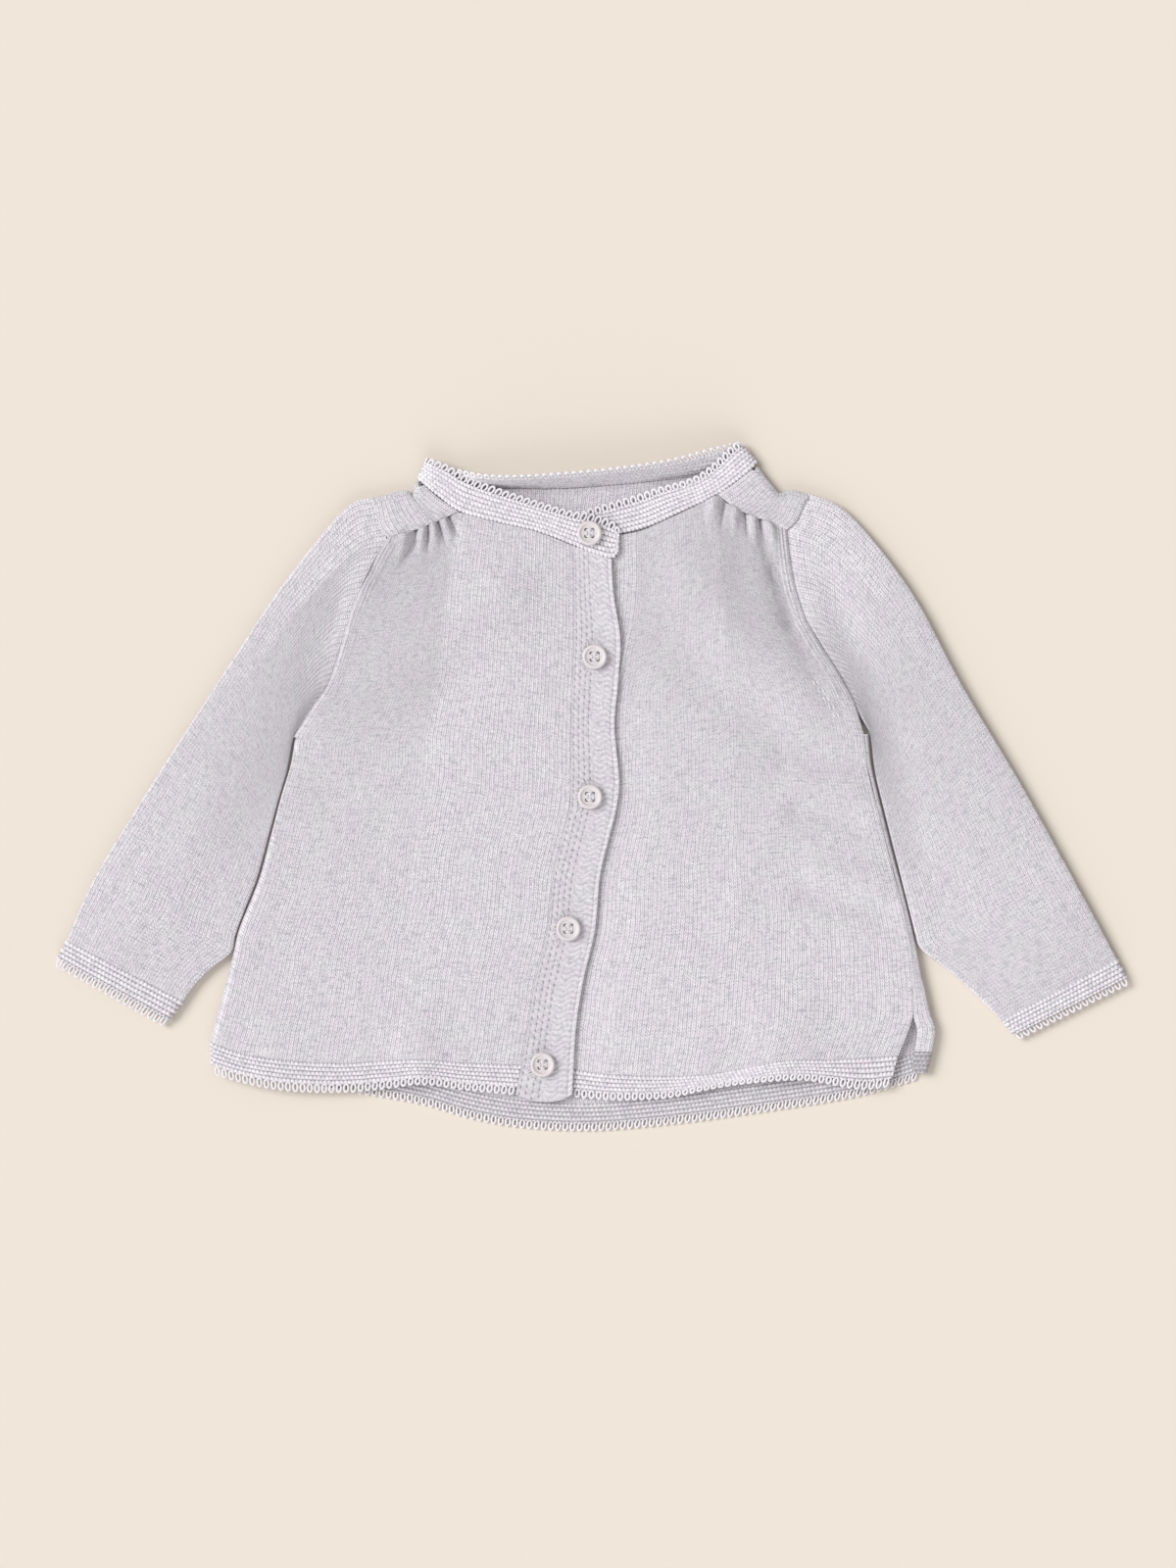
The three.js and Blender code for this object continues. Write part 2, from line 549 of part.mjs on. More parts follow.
const frontPatch = {
  left: patch({
    top: joined(yokeSeam.left, smoothLine(NECK_SEAM.leftFront), YOKE_SHARE),
    bottom: smoothLine(HEM.left.top),
    left: joined(armholeFront.left, sideLine.left, UNDERARM_SHARE),
    right: (v) => overLeft(v * HEM_SHARE.over),
  }),
  right: patch({
    top: joined(smoothLine(NECK_SEAM.rightFront), yokeSeam.right, 1 - YOKE_SHARE),
    bottom: smoothLine(HEM.right.top),
    left: (v) => underRight(v * HEM_SHARE.under),
    right: joined(armholeFront.right, sideLine.right, UNDERARM_SHARE),
  }),
};
const FRONT_WIDTH = 120;
const FRONT_LENGTH = 235;

// How far the left front reaches under: less at its underarm, and full from a little way below it
const UNDERARM_REACH = 5.2;
const FULL_REACH_Y = -30;
function underReach(y) {
  const share = THREE.MathUtils.smoothstep(-y, -SIDE.left[0].y, -FULL_REACH_Y);
  return THREE.MathUtils.lerp(UNDERARM_REACH, UNDER_REACH, share);
}

// The wrapped edge of the left front at an edge point, from its seam underneath to the top of the fold
function wrapUnder(edge, upperZ) {
  const points = [new THREE.Vector3(edge.x + underReach(edge.y) - SEAM_TRIM, edge.y, BACK_Z)];
  for (const step of halfTurn(upperZ).slice(0, FOLD_STEPS)) {
    points.push(new THREE.Vector3(edge.x + step.inset, edge.y, step.z));
  }
  return points;
}

const WRAP_COLUMNS = FOLD_STEPS + 1;

function leftFront() {
  const grid = frontRows.map((v) => {
    const row = trimmed(v, FRONT_LENGTH);
    const edge = frontPatch.left(0, row);
    const upperZ = frontHeight.left(edge.x, edge.y);
    const start = v < UNDERARM_SHARE ? SEAM_TRIM : halfTurn(upperZ, 0)[0].inset;
    const points = wrapUnder(edge, upperZ);
    for (const s of shares(FRONT_COLUMNS)) {
      const across = THREE.MathUtils.lerp(start / FRONT_WIDTH, 1 - SEAM_TRIM / FRONT_WIDTH, s);
      const p = frontPatch.left(across, row);
      points.push(place(p, frontHeight.left(p.x, p.y)));
    }
    return points;
  });
  const isCloth = (r, c) => r >= UNDERARM_ROW || c >= WRAP_COLUMNS;
  return wall(grid, { isCloth, inward: -1 });
}

function rightFront() {
  const grid = frontRows.map((v) =>
    shares(FRONT_COLUMNS).map((s) => {
      const p = frontPatch.right(trimmed(s, FRONT_WIDTH), trimmed(v, FRONT_LENGTH));
      return place(p, frontHeight.right(p.x, p.y));
    }),
  );
  return wall(grid, { inward: -1 });
}

// Bands along the hems

const HEM_COLUMNS = 20;
const HEM_PLAIN_ROWS = [0, GARTER_ROWS / 2, GARTER_ROWS];

function leftHem() {
  const band = patch({
    top: smoothLine(HEM.left.top),
    bottom: smoothLine(HEM.left.bottom),
    left: between(HEM.left.top[0], HEM.left.bottom[0]),
    right: (v) => overLeft(THREE.MathUtils.lerp(HEM_SHARE.over, 1, v)),
  });
  const bandHeight = HEM.left.top[0].y - HEM.left.bottom[0].y;
  const grid = shares(GARTER_ROWS).map((v) => {
    const row = THREE.MathUtils.lerp(SEAM_TRIM / bandHeight, 1, v);
    const edge = band(0, row);
    const upperZ = frontHeight.left(edge.x, edge.y);
    const start = halfTurn(upperZ, 0)[0].inset;
    const points = wrapUnder(edge, upperZ);
    for (const s of shares(HEM_COLUMNS)) {
      const p = band(THREE.MathUtils.lerp(start / FRONT_WIDTH, 1 - SEAM_TRIM / FRONT_WIDTH, s), row);
      points.push(place(p, frontHeight.left(p.x, p.y)));
    }
    return points;
  });
  const rise = (r, c) => (c < 2 ? 0 : garterRise(r));
  return ridgedBand(grid, { rise, plainRows: HEM_PLAIN_ROWS, inward: -1 });
}

function rightHem() {
  const band = patch({
    top: smoothLine(HEM.right.top),
    bottom: smoothLine(HEM.right.bottom),
    left: between(HEM.right.top[0], HEM.right.bottom[0]),
    right: between(HEM.right.top.at(-1), HEM.right.bottom.at(-1)),
  });
  const bandHeight = HEM.right.top[0].y - HEM.right.bottom[0].y;
  const grid = shares(GARTER_ROWS).map((v) =>
    shares(HEM_COLUMNS).map((s) => {
      const p = band(trimmed(s, FRONT_WIDTH), THREE.MathUtils.lerp(SEAM_TRIM / bandHeight, 1, v));
      return place(p, frontHeight.right(p.x, p.y));
    }),
  );
  return ridgedBand(grid, { rise: garterRise, plainRows: HEM_PLAIN_ROWS, inward: -1 });
}

// Back and its hem

const BACK_LOWER_ROWS = 8;
const BACK_UPPER_ROWS = 6;
const SHOULDER_COLUMNS = 5;
const NECK_COLUMNS = 10;
const BACK_COLUMNS = 2 * SHOULDER_COLUMNS + NECK_COLUMNS;
const BACK_UNDERARM = 0.56; // the underarm's share of the way up the back
const SHOULDER_SHARE = SHOULDER_COLUMNS / BACK_COLUMNS;
const YOKE_ROWS = [0.12, 0.35, 0.65, 1];
const BACK_LENGTH = 270;

const stripEdge = smoothLine(STRIP_EDGE);
// The fold on the right, outside the strip's edge
function rightFold(share) {
  const edge = stripEdge(share);
  return new THREE.Vector3(edge.x + tableAt(STRIP_WIDTH, edge.y, "width"), edge.y, 0);
}
// Where the flat of the back ends at each side
const flatLeft = (share) => {
  const edge = sideLine.left(1 - share);
  return new THREE.Vector3(edge.x + underReach(edge.y) + UNDER_SEAM_GAP, edge.y, 0);
};
const flatInset = halfTurn(FRONT_Z)[0].inset;
const flatRight = (share) => {
  const edge = rightFold(1 - share);
  return new THREE.Vector3(edge.x - flatInset, edge.y, 0);
};

const shoulderLine = { left: smoothLine(SHOULDER.left), right: smoothLine(SHOULDER.right) };

// The top edge of the flat of the back: shoulder, neck and shoulder
function backTop(s) {
  if (s <= SHOULDER_SHARE) {
    const p = shoulderLine.left(s / SHOULDER_SHARE);
    return new THREE.Vector3(p.x, p.y - shoulderInset, 0);
  }
  if (s >= 1 - SHOULDER_SHARE) {
    const p = shoulderLine.right((s - 1 + SHOULDER_SHARE) / SHOULDER_SHARE);
    return new THREE.Vector3(p.x, p.y - shoulderInset, 0);
  }
  return backNeck((s - SHOULDER_SHARE) / (1 - 2 * SHOULDER_SHARE));
}
const backNeck = smoothLine(NECK_SEAM.back);

const backPatch = patch({
  top: smoothLine([flatLeft(0), ...HEM.back.top.slice(1, -1), flatRight(0)]),
  bottom: backTop,
  left: joined(flatLeft, reversed(armholeBack.left), BACK_UNDERARM),
  right: joined(flatRight, reversed(armholeBack.right), BACK_UNDERARM),
});

const yokePatch = {
  left: patch({
    top: shoulderLine.left,
    bottom: yokeSeam.left,
    left: armholeYoke.left,
    right: reversed(smoothLine(NECK_SEAM.leftYoke)),
  }),
  right: patch({
    top: shoulderLine.right,
    bottom: yokeSeam.right,
    left: reversed(smoothLine(NECK_SEAM.rightYoke)),
    right: armholeYoke.right,
  }),
};
const STRIP_DRIFT = 1.4; // how far the strip's edge leans inwards down its hem band
const YOKE_WIDTH = { left: 26, right: 30 };
const YOKE_DEPTH = 20;

// The forward strip at the right, from the flat of the back round the fold to the strip's own edge
function stripPoints(edge, fold, upperZ) {
  const turn = halfTurn(upperZ).slice(1, FOLD_STEPS);
  const points = turn.map((step) => new THREE.Vector3(fold.x - step.inset, fold.y, step.z));
  const top = fold.x - halfTurn(upperZ, 0)[0].inset;
  points.push(new THREE.Vector3(top, fold.y, upperZ));
  points.push(new THREE.Vector3(Math.min(edge.x + SEAM_TRIM, top - SEAM_TRIM), edge.y, upperZ));
  return points;
}

const backRows = [
  ...shares(BACK_LOWER_ROWS).map((t) => t * BACK_UNDERARM),
  ...shares(BACK_UPPER_ROWS).slice(1).map((t) => BACK_UNDERARM + (1 - BACK_UNDERARM) * t),
];

function back() {
  const grid = backRows.map((v) => {
    const row = THREE.MathUtils.lerp(SEAM_TRIM / BACK_LENGTH, 1, v);
    const above = v > BACK_UNDERARM;
    const trim = above ? SEAM_TRIM / FRONT_WIDTH / 2 : 0;
    const points = shares(BACK_COLUMNS).map((s) => {
      const p = backPatch(THREE.MathUtils.lerp(trim, 1 - trim, s), row);
      return place(p, BACK_Z);
    });
    const share = 1 - Math.min(row / BACK_UNDERARM, 1);
    const edge = stripEdge(share);
    points.push(...stripPoints(edge, rightFold(share), FRONT_Z));
    return points;
  });
  const flat = grid[grid.length - 1];
  const blank = () => Array.from({ length: grid[0].length }, () => new THREE.Vector3());
  const firstColumn = { left: 0, right: BACK_COLUMNS - SHOULDER_COLUMNS };
  const yokeTop = shoulderInset / YOKE_DEPTH;
  for (const row of halfTurn(FRONT_Z, 0).slice(1)) {
    const points = blank();
    for (const side of ["left", "right"]) {
      for (let c = 0; c <= SHOULDER_COLUMNS; c += 1) {
        const column = firstColumn[side] + c;
        points[column] = new THREE.Vector3(flat[column].x, flat[column].y + shoulderInset - row.inset, row.z);
      }
    }
    grid.push(points);
  }
  for (const depth of YOKE_ROWS) {
    const points = blank();
    for (const side of ["left", "right"]) {
      const v = THREE.MathUtils.lerp(yokeTop, 1 - SEAM_TRIM / YOKE_DEPTH, depth);
      for (let c = 0; c <= SHOULDER_COLUMNS; c += 1) {
        const p = yokePatch[side](trimmed(c / SHOULDER_COLUMNS, YOKE_WIDTH[side]), v);
        points[firstColumn[side] + c] = place(p, FRONT_Z);
      }
    }
    grid.push(points);
  }
  const lastFlat = backRows.length - 1;
  const isCloth = (r, c) => {
    if (c >= BACK_COLUMNS) return r < BACK_LOWER_ROWS;
    if (r < lastFlat) return true;
    return c < SHOULDER_COLUMNS || c >= BACK_COLUMNS - SHOULDER_COLUMNS;
  };
  return wall(grid, { isCloth, inward: 1 });
}

function backHem() {
  const strip = stripEdge(1);
  const foldTop = rightFold(1);
  const foldFoot = HEM.back.bottom.at(-1);
  const footEnd = point(foldFoot.x - flatInset, foldFoot.y);
  const foot = smoothLine([...HEM.back.bottom.slice(0, -1), footEnd]);
  const band = patch({
    top: (s) => backPatch(s, 0),
    bottom: foot,
    left: between(backPatch(0, 0), foot(0)),
    right: between(backPatch(1, 0), foot(1)),
  });
  const grid = shares(GARTER_ROWS).map((v) => {
    const row = THREE.MathUtils.lerp(SEAM_TRIM / CUFF_HEIGHT, 1, v);
    const points = shares(BACK_COLUMNS).map((s) => place(band(s, row), BACK_Z));
    const fold = new THREE.Vector3().lerpVectors(foldTop, new THREE.Vector3(foldFoot.x, foldFoot.y, 0), row);
    const edge = new THREE.Vector3(strip.x - STRIP_DRIFT * row, fold.y, 0);
    points.push(...stripPoints(edge, fold, FRONT_Z));
    return points;
  });
  const rise = (r, c) => (c > BACK_COLUMNS + 1 ? garterRise(r) : 0);
  const innerRise = (r, c) => (c < BACK_COLUMNS ? garterRise(r) : 0);
  return wall(grid, { rise, innerRise, inward: 1 });
}

// Sleeves and cuffs

// Places across a sleeve, closer together at its two folds
const acrossSleeve = shares(SLEEVE_STEPS).map((t) => 0.5 - 0.5 * Math.cos(Math.PI * t));
const SLEEVE_FLATNESS = 6; // power of the sleeve's rounded section
const SLEEVE_LENGTH = 110;

function roundedSection(s) {
  return (1 - Math.abs(2 * s - 1) ** SLEEVE_FLATNESS) ** (1 / SLEEVE_FLATNESS);
}

// The body's outline that a sleeve's inner edge lies against, from the underarm down
const bodyEdge = {
  left: (y) => tableAt(SIDE.left, y, "x") - SLEEVE_CLEAR,
  right: (y) => tableAt(STRIP_EDGE, y, "x") + tableAt(STRIP_WIDTH, y, "width") + SLEEVE_CLEAR,
};
const ARM_STOPS = [8, -8, -24, -42, -58, -68];

function sleeveEnds(side) {
  const table = SLEEVE[side];
  const underarmY = SIDE[side][0].y + 2 * SEAM_TRIM;
  const hidden = [underarmY, ...ARM_STOPS].map((y) => point(bodyEdge[side](y), y));
  const inner = smoothLine([...hidden, ...table.inner]);
  const outer = smoothLine(table.outer);
  return { inner, outer, cuffTop: between(outer(1), inner(1)) };
}

function sleevePatches(side) {
  const { inner, outer, cuffTop } = sleeveEnds(side);
  const yokeShare = acrossSleeve[YOKE_STEP];
  const underarm = inner(0);
  const toUnderarm = (rows) => smoothLine([...rows.slice(0, -1), underarm]);
  const upperArmhole = joined(armholeYoke[side], toUnderarm(ARMHOLE[side].front), yokeShare);
  const underArm = (v) => inner(v ** 2);
  const reach = (v) => 1 - (1 - v) ** 4;
  const plan = (armhole) => patch({ top: armhole, bottom: cuffTop, left: outer, right: underArm, reach });
  return { upper: plan(upperArmhole), lower: plan(toUnderarm(ARMHOLE[side].back)) };
}

// One ring of a sleeve: over the upper layer from the outer to the inner fold and back under it
function sleeveRing(upper, lower, height) {
  const ring = [];
  const level = (p, s, sign) => {
    const top = height(p.x, p.y);
    return place(p, (BACK_Z + top) / 2 + (sign * roundedSection(s) * (top - BACK_Z)) / 2);
  };
  for (const s of acrossSleeve) ring.push(level(upper(s), s, 1));
  for (const s of [...acrossSleeve].slice(1, -1).reverse()) ring.push(level(lower(s), s, -1));
  return ring;
}

function sleeve(side) {
  const { upper, lower } = sleevePatches(side);
  const grid = shares(SLEEVE_ROWS).map((v) => {
    const row = THREE.MathUtils.lerp((3 * SEAM_TRIM) / SLEEVE_LENGTH, 1 - SEAM_TRIM / SLEEVE_LENGTH, v);
    return sleeveRing((s) => upper(s, row), (s) => lower(s, row), sleeveHeight[side]);
  });
  return wall(grid, { closed: true, inward: side === "left" ? -1 : 1 });
}

const CUFF_HEIGHT = 12;

function cuff(side) {
  const { cuffTop } = sleeveEnds(side);
  const free = between(
    new THREE.Vector3(SLEEVE[side].cuffOuter.x, SLEEVE[side].cuffOuter.y, 0),
    new THREE.Vector3(SLEEVE[side].cuffInner.x, SLEEVE[side].cuffInner.y, 0),
  );
  const grid = shares(GARTER_ROWS).map((v) => {
    const row = THREE.MathUtils.lerp(SEAM_TRIM / CUFF_HEIGHT, 1, v);
    const line = (s) => new THREE.Vector3().lerpVectors(cuffTop(s), free(s), row);
    return sleeveRing(line, line, sleeveHeight[side]);
  });
  const rise = (r, c) => (c > 0 && c <= SLEEVE_STEPS ? garterRise(r) : 0);
  const inward = side === "left" ? -1 : 1;
  return ridgedBand(grid, { rise, plainRows: HEM_PLAIN_ROWS, closed: true, inward });
}

// Neckband

function neckband() {
  const seam = smoothLine(NECKBAND.map((row) => point(row.lx, row.ly, row.lz)));
  const free = smoothLine(NECKBAND.map((row) => point(row.ux, row.uy, row.uz)));
  const seamShares = stationShares(seam, "l");
  const freeShares = stationShares(free, "u");
  const grid = shares(GARTER_ROWS).map((v) =>
    shares(NECKBAND_COLUMNS).map((t) => {
      const low = seam(tableShare(seamShares, t));
      const high = free(tableShare(freeShares, t));
      return low.lerp(high, v);
    }),
  );
  return wall(grid, { rise: garterRise, innerRise: garterRise });
}

// The share of a line's length at which it passes each station of the neckband, searched for in small
// steps from the station before
const SEARCH_STEP = 0.0005;
const SEARCH_REACH = 0.2;
function stationShares(line, edge) {
  let last = 0;
  return NECKBAND.map((row) => {
    const target = new THREE.Vector3(row[`${edge}x`], row[`${edge}y`], row[`${edge}z`]);
    let best = last;
    let nearest = Infinity;
    for (let share = last; share <= Math.min(last + SEARCH_REACH, 1); share += SEARCH_STEP) {
      const distance = line(share).distanceTo(target);
      if (distance < nearest) {
        nearest = distance;
        best = share;
      }
    }
    last = best;
    return best;
  });
}

function tableShare(stops, t) {
  const at = t * (stops.length - 1);
  const low = Math.min(Math.floor(at), stops.length - 2);
  return THREE.MathUtils.lerp(stops[low], stops[low + 1], at - low);
}

// Plackets

// Across a placket: the share of its width and how far its face stands out there
const RIBS = {
  over: [
    { at: 0, rise: 0 }, { at: 0.08, rise: RIDGE }, { at: 0.155, rise: 0 }, { at: 0.23, rise: RIDGE },
    { at: 0.31, rise: 0 }, { at: 0.385, rise: RIDGE }, { at: 0.46, rise: 0 }, { at: 0.72, rise: 0.1 },
    { at: 1, rise: 0 },
  ],
  under: [
    { at: 0, rise: 0 }, { at: 0.54, rise: 0 }, { at: 0.62, rise: RIDGE }, { at: 0.7, rise: 0 },
    { at: 0.78, rise: RIDGE }, { at: 0.86, rise: 0 }, { at: 0.93, rise: RIDGE }, { at: 1, rise: 0 },
  ],
};
const PLACKET_STEPS = 28;
const PLACKET_WIDTH = 22;

function placket(kind, left, right, top, bottom, height) {
  const plan = patch({ top, bottom, left, right });
  const ribs = RIBS[kind];
  const grid = ribs.map((rib) =>
    shares(PLACKET_STEPS).map((v) => {
      const p = plan(trimmed(rib.at, PLACKET_WIDTH), v);
      return place(p, height(p.x, p.y));
    }),
  );
  const middle = Math.floor(ribs.length / 2);
  const plainRows = [0, middle, ribs.length - 1];
  return ridgedBand(grid, { rise: (r) => ribs[r].rise, plainRows, inward: 1 });
}

function placketOver() {
  const foot = smoothLine([overLeft(1), point(-25.7, -144.2), point(-14.5, -143.6), overRight(1)]);
  const neck = between(overLeft(0), overRight(0));
  return placket("over", overLeft, overRight, neck, foot, frontHeight.left);
}

function placketUnder() {
  const foot = between(underLeft(1), underRight(1));
  const neck = between(underLeft(0), underRight(0));
  return placket("under", underLeft, underRight, neck, foot, () => UNDER_Z);
}

// Buttons

// A button's outline from the middle of its underside, by its edge and rim, to its dished middle, as
// shares of its radius and height
const BUTTON_PROFILE = [
  { out: 0, up: 0 }, { out: 0.86, up: 0 }, { out: 1, up: 0.4 }, { out: 0.9, up: 1 }, { out: 0.7, up: 0.72 },
  { out: 0, up: 0.66 },
];

function disc() {
  const profile = BUTTON_PROFILE.map(
    ({ out, up }) => new THREE.Vector2(out * BUTTON_RADIUS, up * BUTTON_HEIGHT),
  );
  return new THREE.LatheGeometry(profile, BUTTON_SIDES).rotateX(Math.PI / 2);
}

const wasm = await Module();
wasm.setup();

function solidOf(geometry) {
  const bare = geometry.clone();
  bare.deleteAttribute("normal");
  bare.deleteAttribute("uv");
  const merged = mergeVertices(bare, 1e-4);
  return new wasm.Manifold(
    new wasm.Mesh({
      numProp: 3,
      vertProperties: merged.attributes.position.array,
      triVerts: new Uint32Array(merged.index.array),
    }),
  );
}

function buttonGeometry() {
  let solid = solidOf(disc());
  for (const [x, y] of [[1, 1], [-1, 1], [-1, -1], [1, -1]]) {
    const hole = new THREE.CylinderGeometry(HOLE_RADIUS, HOLE_RADIUS, BUTTON_HEIGHT * 3, HOLE_SIDES);
    hole.rotateX(Math.PI / 2).translate(x * HOLE_SPACING, y * HOLE_SPACING, 0);
    solid = solid.subtract(solidOf(hole));
  }
  const mesh = solid.getMesh();
  const geometry = new THREE.BufferGeometry();
  geometry.setAttribute("position", new THREE.Float32BufferAttribute(mesh.vertProperties, 3));
  geometry.setIndex([...mesh.triVerts]);
  geometry.computeVertexNormals();
  return geometry;
}

// Height at which a button sits: just off the highest cloth under it
function seatOf(row) {
  let highest = row.y > NECKBAND[0].ly ? NECKBAND[0].lz : 0;
  for (const dx of [-1, 0, 1]) {
    for (const dy of [-1, 0, 1]) {
      const here = frontHeight.left(row.x + dx * BUTTON_RADIUS, row.y + dy * BUTTON_RADIUS);
      highest = Math.max(highest, here);
    }
  }
  return highest + HALF_CLOTH + RIDGE + BUTTON_GAP;
}

const meshes = [];

function addMesh(name, geometry, material) {
  const mesh = new THREE.Mesh(geometry, material);
  mesh.name = name;
  meshes.push(mesh);
}

// Materials
const knit = new THREE.MeshStandardMaterial({ color: 0xdad7db, roughness: 0.95, metalness: 0 });
const bandKnit = new THREE.MeshStandardMaterial({ color: 0xdcd9dc, roughness: 0.95, metalness: 0 });
const button = new THREE.MeshStandardMaterial({ color: 0xd8d3d2, roughness: 0.35, metalness: 0 });

addMesh("back", back(), knit);
addMesh("front_left", leftFront(), knit);
addMesh("front_right", rightFront(), knit);
addMesh("hem_front_left", leftHem(), bandKnit);
addMesh("hem_front_right", rightHem(), bandKnit);
addMesh("hem_back", backHem(), bandKnit);
for (const side of ["left", "right"]) {
  addMesh(`sleeve_${side}`, sleeve(side), knit);
  addMesh(`cuff_${side}`, cuff(side), bandKnit);
}
addMesh("neckband", neckband(), bandKnit);
addMesh("placket_over", placketOver(), bandKnit);
addMesh("placket_under", placketUnder(), bandKnit);
for (const row of BUTTONS) {
  addMesh(row.name, buttonGeometry(), button);
  meshes.at(-1).position.set(row.x, row.y, seatOf(row));
}

const cardigan = new THREE.Group();
cardigan.add(...meshes);

// The origin is on the table, under the middle of the garment.
const box = new THREE.Box3().setFromObject(cardigan, true);
const middle = box.getCenter(new THREE.Vector3());
cardigan.position.set(-middle.x, -middle.y, -box.min.z);

export default cardigan;
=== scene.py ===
"""A baby's knitted cardigan, buttoned up and laid flat, dressed over its CAD frame.

Outlines and folds are in millimetres, as in the part's own source: +X to the right as seen from above,
+Y to the neck and +Z up from the table. "Left" and "right" are as seen from above.
"""
import math

import bmesh
import bpy
import numpy as np
from bpy.props import FloatProperty, FloatVectorProperty, IntProperty, PointerProperty
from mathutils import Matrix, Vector


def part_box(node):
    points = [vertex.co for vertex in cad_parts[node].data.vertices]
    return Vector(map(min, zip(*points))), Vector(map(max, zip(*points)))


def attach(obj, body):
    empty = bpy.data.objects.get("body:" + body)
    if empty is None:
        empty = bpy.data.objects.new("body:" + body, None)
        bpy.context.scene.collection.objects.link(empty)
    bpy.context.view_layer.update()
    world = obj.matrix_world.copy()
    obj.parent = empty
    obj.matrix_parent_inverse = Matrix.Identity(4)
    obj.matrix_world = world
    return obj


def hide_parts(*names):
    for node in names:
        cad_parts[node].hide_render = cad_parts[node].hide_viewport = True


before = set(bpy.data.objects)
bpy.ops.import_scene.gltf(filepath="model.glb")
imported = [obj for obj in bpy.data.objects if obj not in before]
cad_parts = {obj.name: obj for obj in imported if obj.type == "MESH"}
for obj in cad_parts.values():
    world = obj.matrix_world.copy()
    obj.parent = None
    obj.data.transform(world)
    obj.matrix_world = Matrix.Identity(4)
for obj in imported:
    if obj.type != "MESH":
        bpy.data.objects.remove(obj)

bl_info = {
    "name": "Baby cardigan",
    "version": (1, 0, 0),
    "blender": (4, 2, 0),
    "location": "View3D > Sidebar > Cardigan",
    "description": "Builds a knitted baby cardigan laid flat, its buttons, sewing and studio",
    "category": "Object",
}

MM = 0.001
BODY = "root"

# Heights of the middle of the cloth above the table
BACK_Z = 0.6
UNDER_Z = 2.3
FRONT_Z = 4.3
LOWEST_FRONT = 2.0
SLEEVE_Z = 3.8
UNDERLAP_RAMP = 20.0

# Side folds
TUCK = 2.0
TURN_STEPS = 10
UNDERARM_REACH = 5.2
UNDER_REACH = 9.0
FULL_REACH_Y = -30.0
SLEEVE_CLEAR = 0.9

# Shares along the outlines
UNDERARM_SHARE = 0.415
YOKE_SHARE = 0.55
BACK_UNDERARM = 0.56
HEM_SHARE = {"over": 0.946, "under": 0.961}

# Outlines, from the neck to the hem or from left to right
ARMHOLE = {
    "left": {
        "yoke": [(-100.4, 132.2), (-98.6, 125.9), (-97.2, 119.6), (-93.5, 114.1)],
        "front": [
            (-93.5, 114.1), (-98.1, 107), (-104.4, 94.3), (-110.4, 80), (-114.8, 63.7),
            (-120.6, 46.1), (-126.5, 37.5), (-136.8, 22),
        ],
        "back": [(-100.4, 132.2), (-103, 112), (-109, 86), (-117, 58), (-126, 37), (-131.6, 24)],
    },
    "right": {
        "yoke": [(98.9, 133.9), (95.6, 126.5), (93.4, 121.6), (89.1, 117.5)],
        "front": [
            (89.1, 117.5), (90.4, 105.7), (92.8, 92), (97.9, 76.3), (103.8, 65.7),
            (111.3, 53.8), (119.5, 38.9), (124.3, 24),
        ],
        "back": [(98.9, 133.9), (98, 112), (100.5, 86), (107, 60), (115, 40), (120.5, 26)],
    },
}
SIDE = {
    "left": [
        (-136.8, 22), (-138.8, 10), (-143, -4), (-147.2, -20), (-153.5, -43),
        (-162.6, -66), (-165.3, -77.6), (-171, -100), (-175.8, -117),
    ],
    "right": [
        (124.3, 24), (125.6, 10.6), (128.4, -2.2), (134.3, -26), (144.4, -68.4),
        (146.6, -90), (146.8, -105), (144, -114), (140, -123.4),
    ],
}
STRIP_EDGE = [*SIDE["right"][:6], (147.4, -106), (148.9, -111), (147.8, -121.5)]
STRIP_WIDTH = {"y": [-121.5, -108, -86, -68, -28, 24], "width": [9, 9.6, 5.4, 3.6, 3, 3]}
STRIP_DRIFT = 1.4

SHOULDER = {
    "left": [
        (-100.4, 132.2), (-91.2, 134.6), (-84.3, 135.6), (-82.4, 132.6), (-81.2, 137.4), (-79.9, 140.4),
    ],
    "right": [
        (75.6, 147.2), (78.6, 143), (82.2, 138.6), (85.9, 134.6), (91.5, 136), (98.9, 133.9),
    ],
}
YOKE_SEAM = {
    "left": [(-93.5, 114.1), (-83.1, 116.9), (-71.6, 121.3), (-61.3, 125.9)],
    "right": [(57.6, 133.8), (66.2, 127.4), (75.9, 123.2), (89.1, 117.5)],
}
NECK_SEAM = {
    "left_front": [(-61.3, 125.9), (-44, 121.5), (-25, 117.1), (-8.6, 110.8)],
    "left_yoke": [(-61.3, 125.9), (-70.5, 132.2), (-79.9, 140.4)],
    "right_front": [(20.6, 117.4), (25.5, 119.2), (38.1, 124.7), (57.6, 133.8)],
    "right_yoke": [(57.6, 133.8), (65, 138.6), (75.6, 147.2)],
    "back": [
        (-79.4, 137.6), (-67, 136.2), (-38.9, 136.4), (-12.4, 136.6), (12.9, 138.4),
        (38.1, 141), (60, 143.8), (75, 144.6),
    ],
}

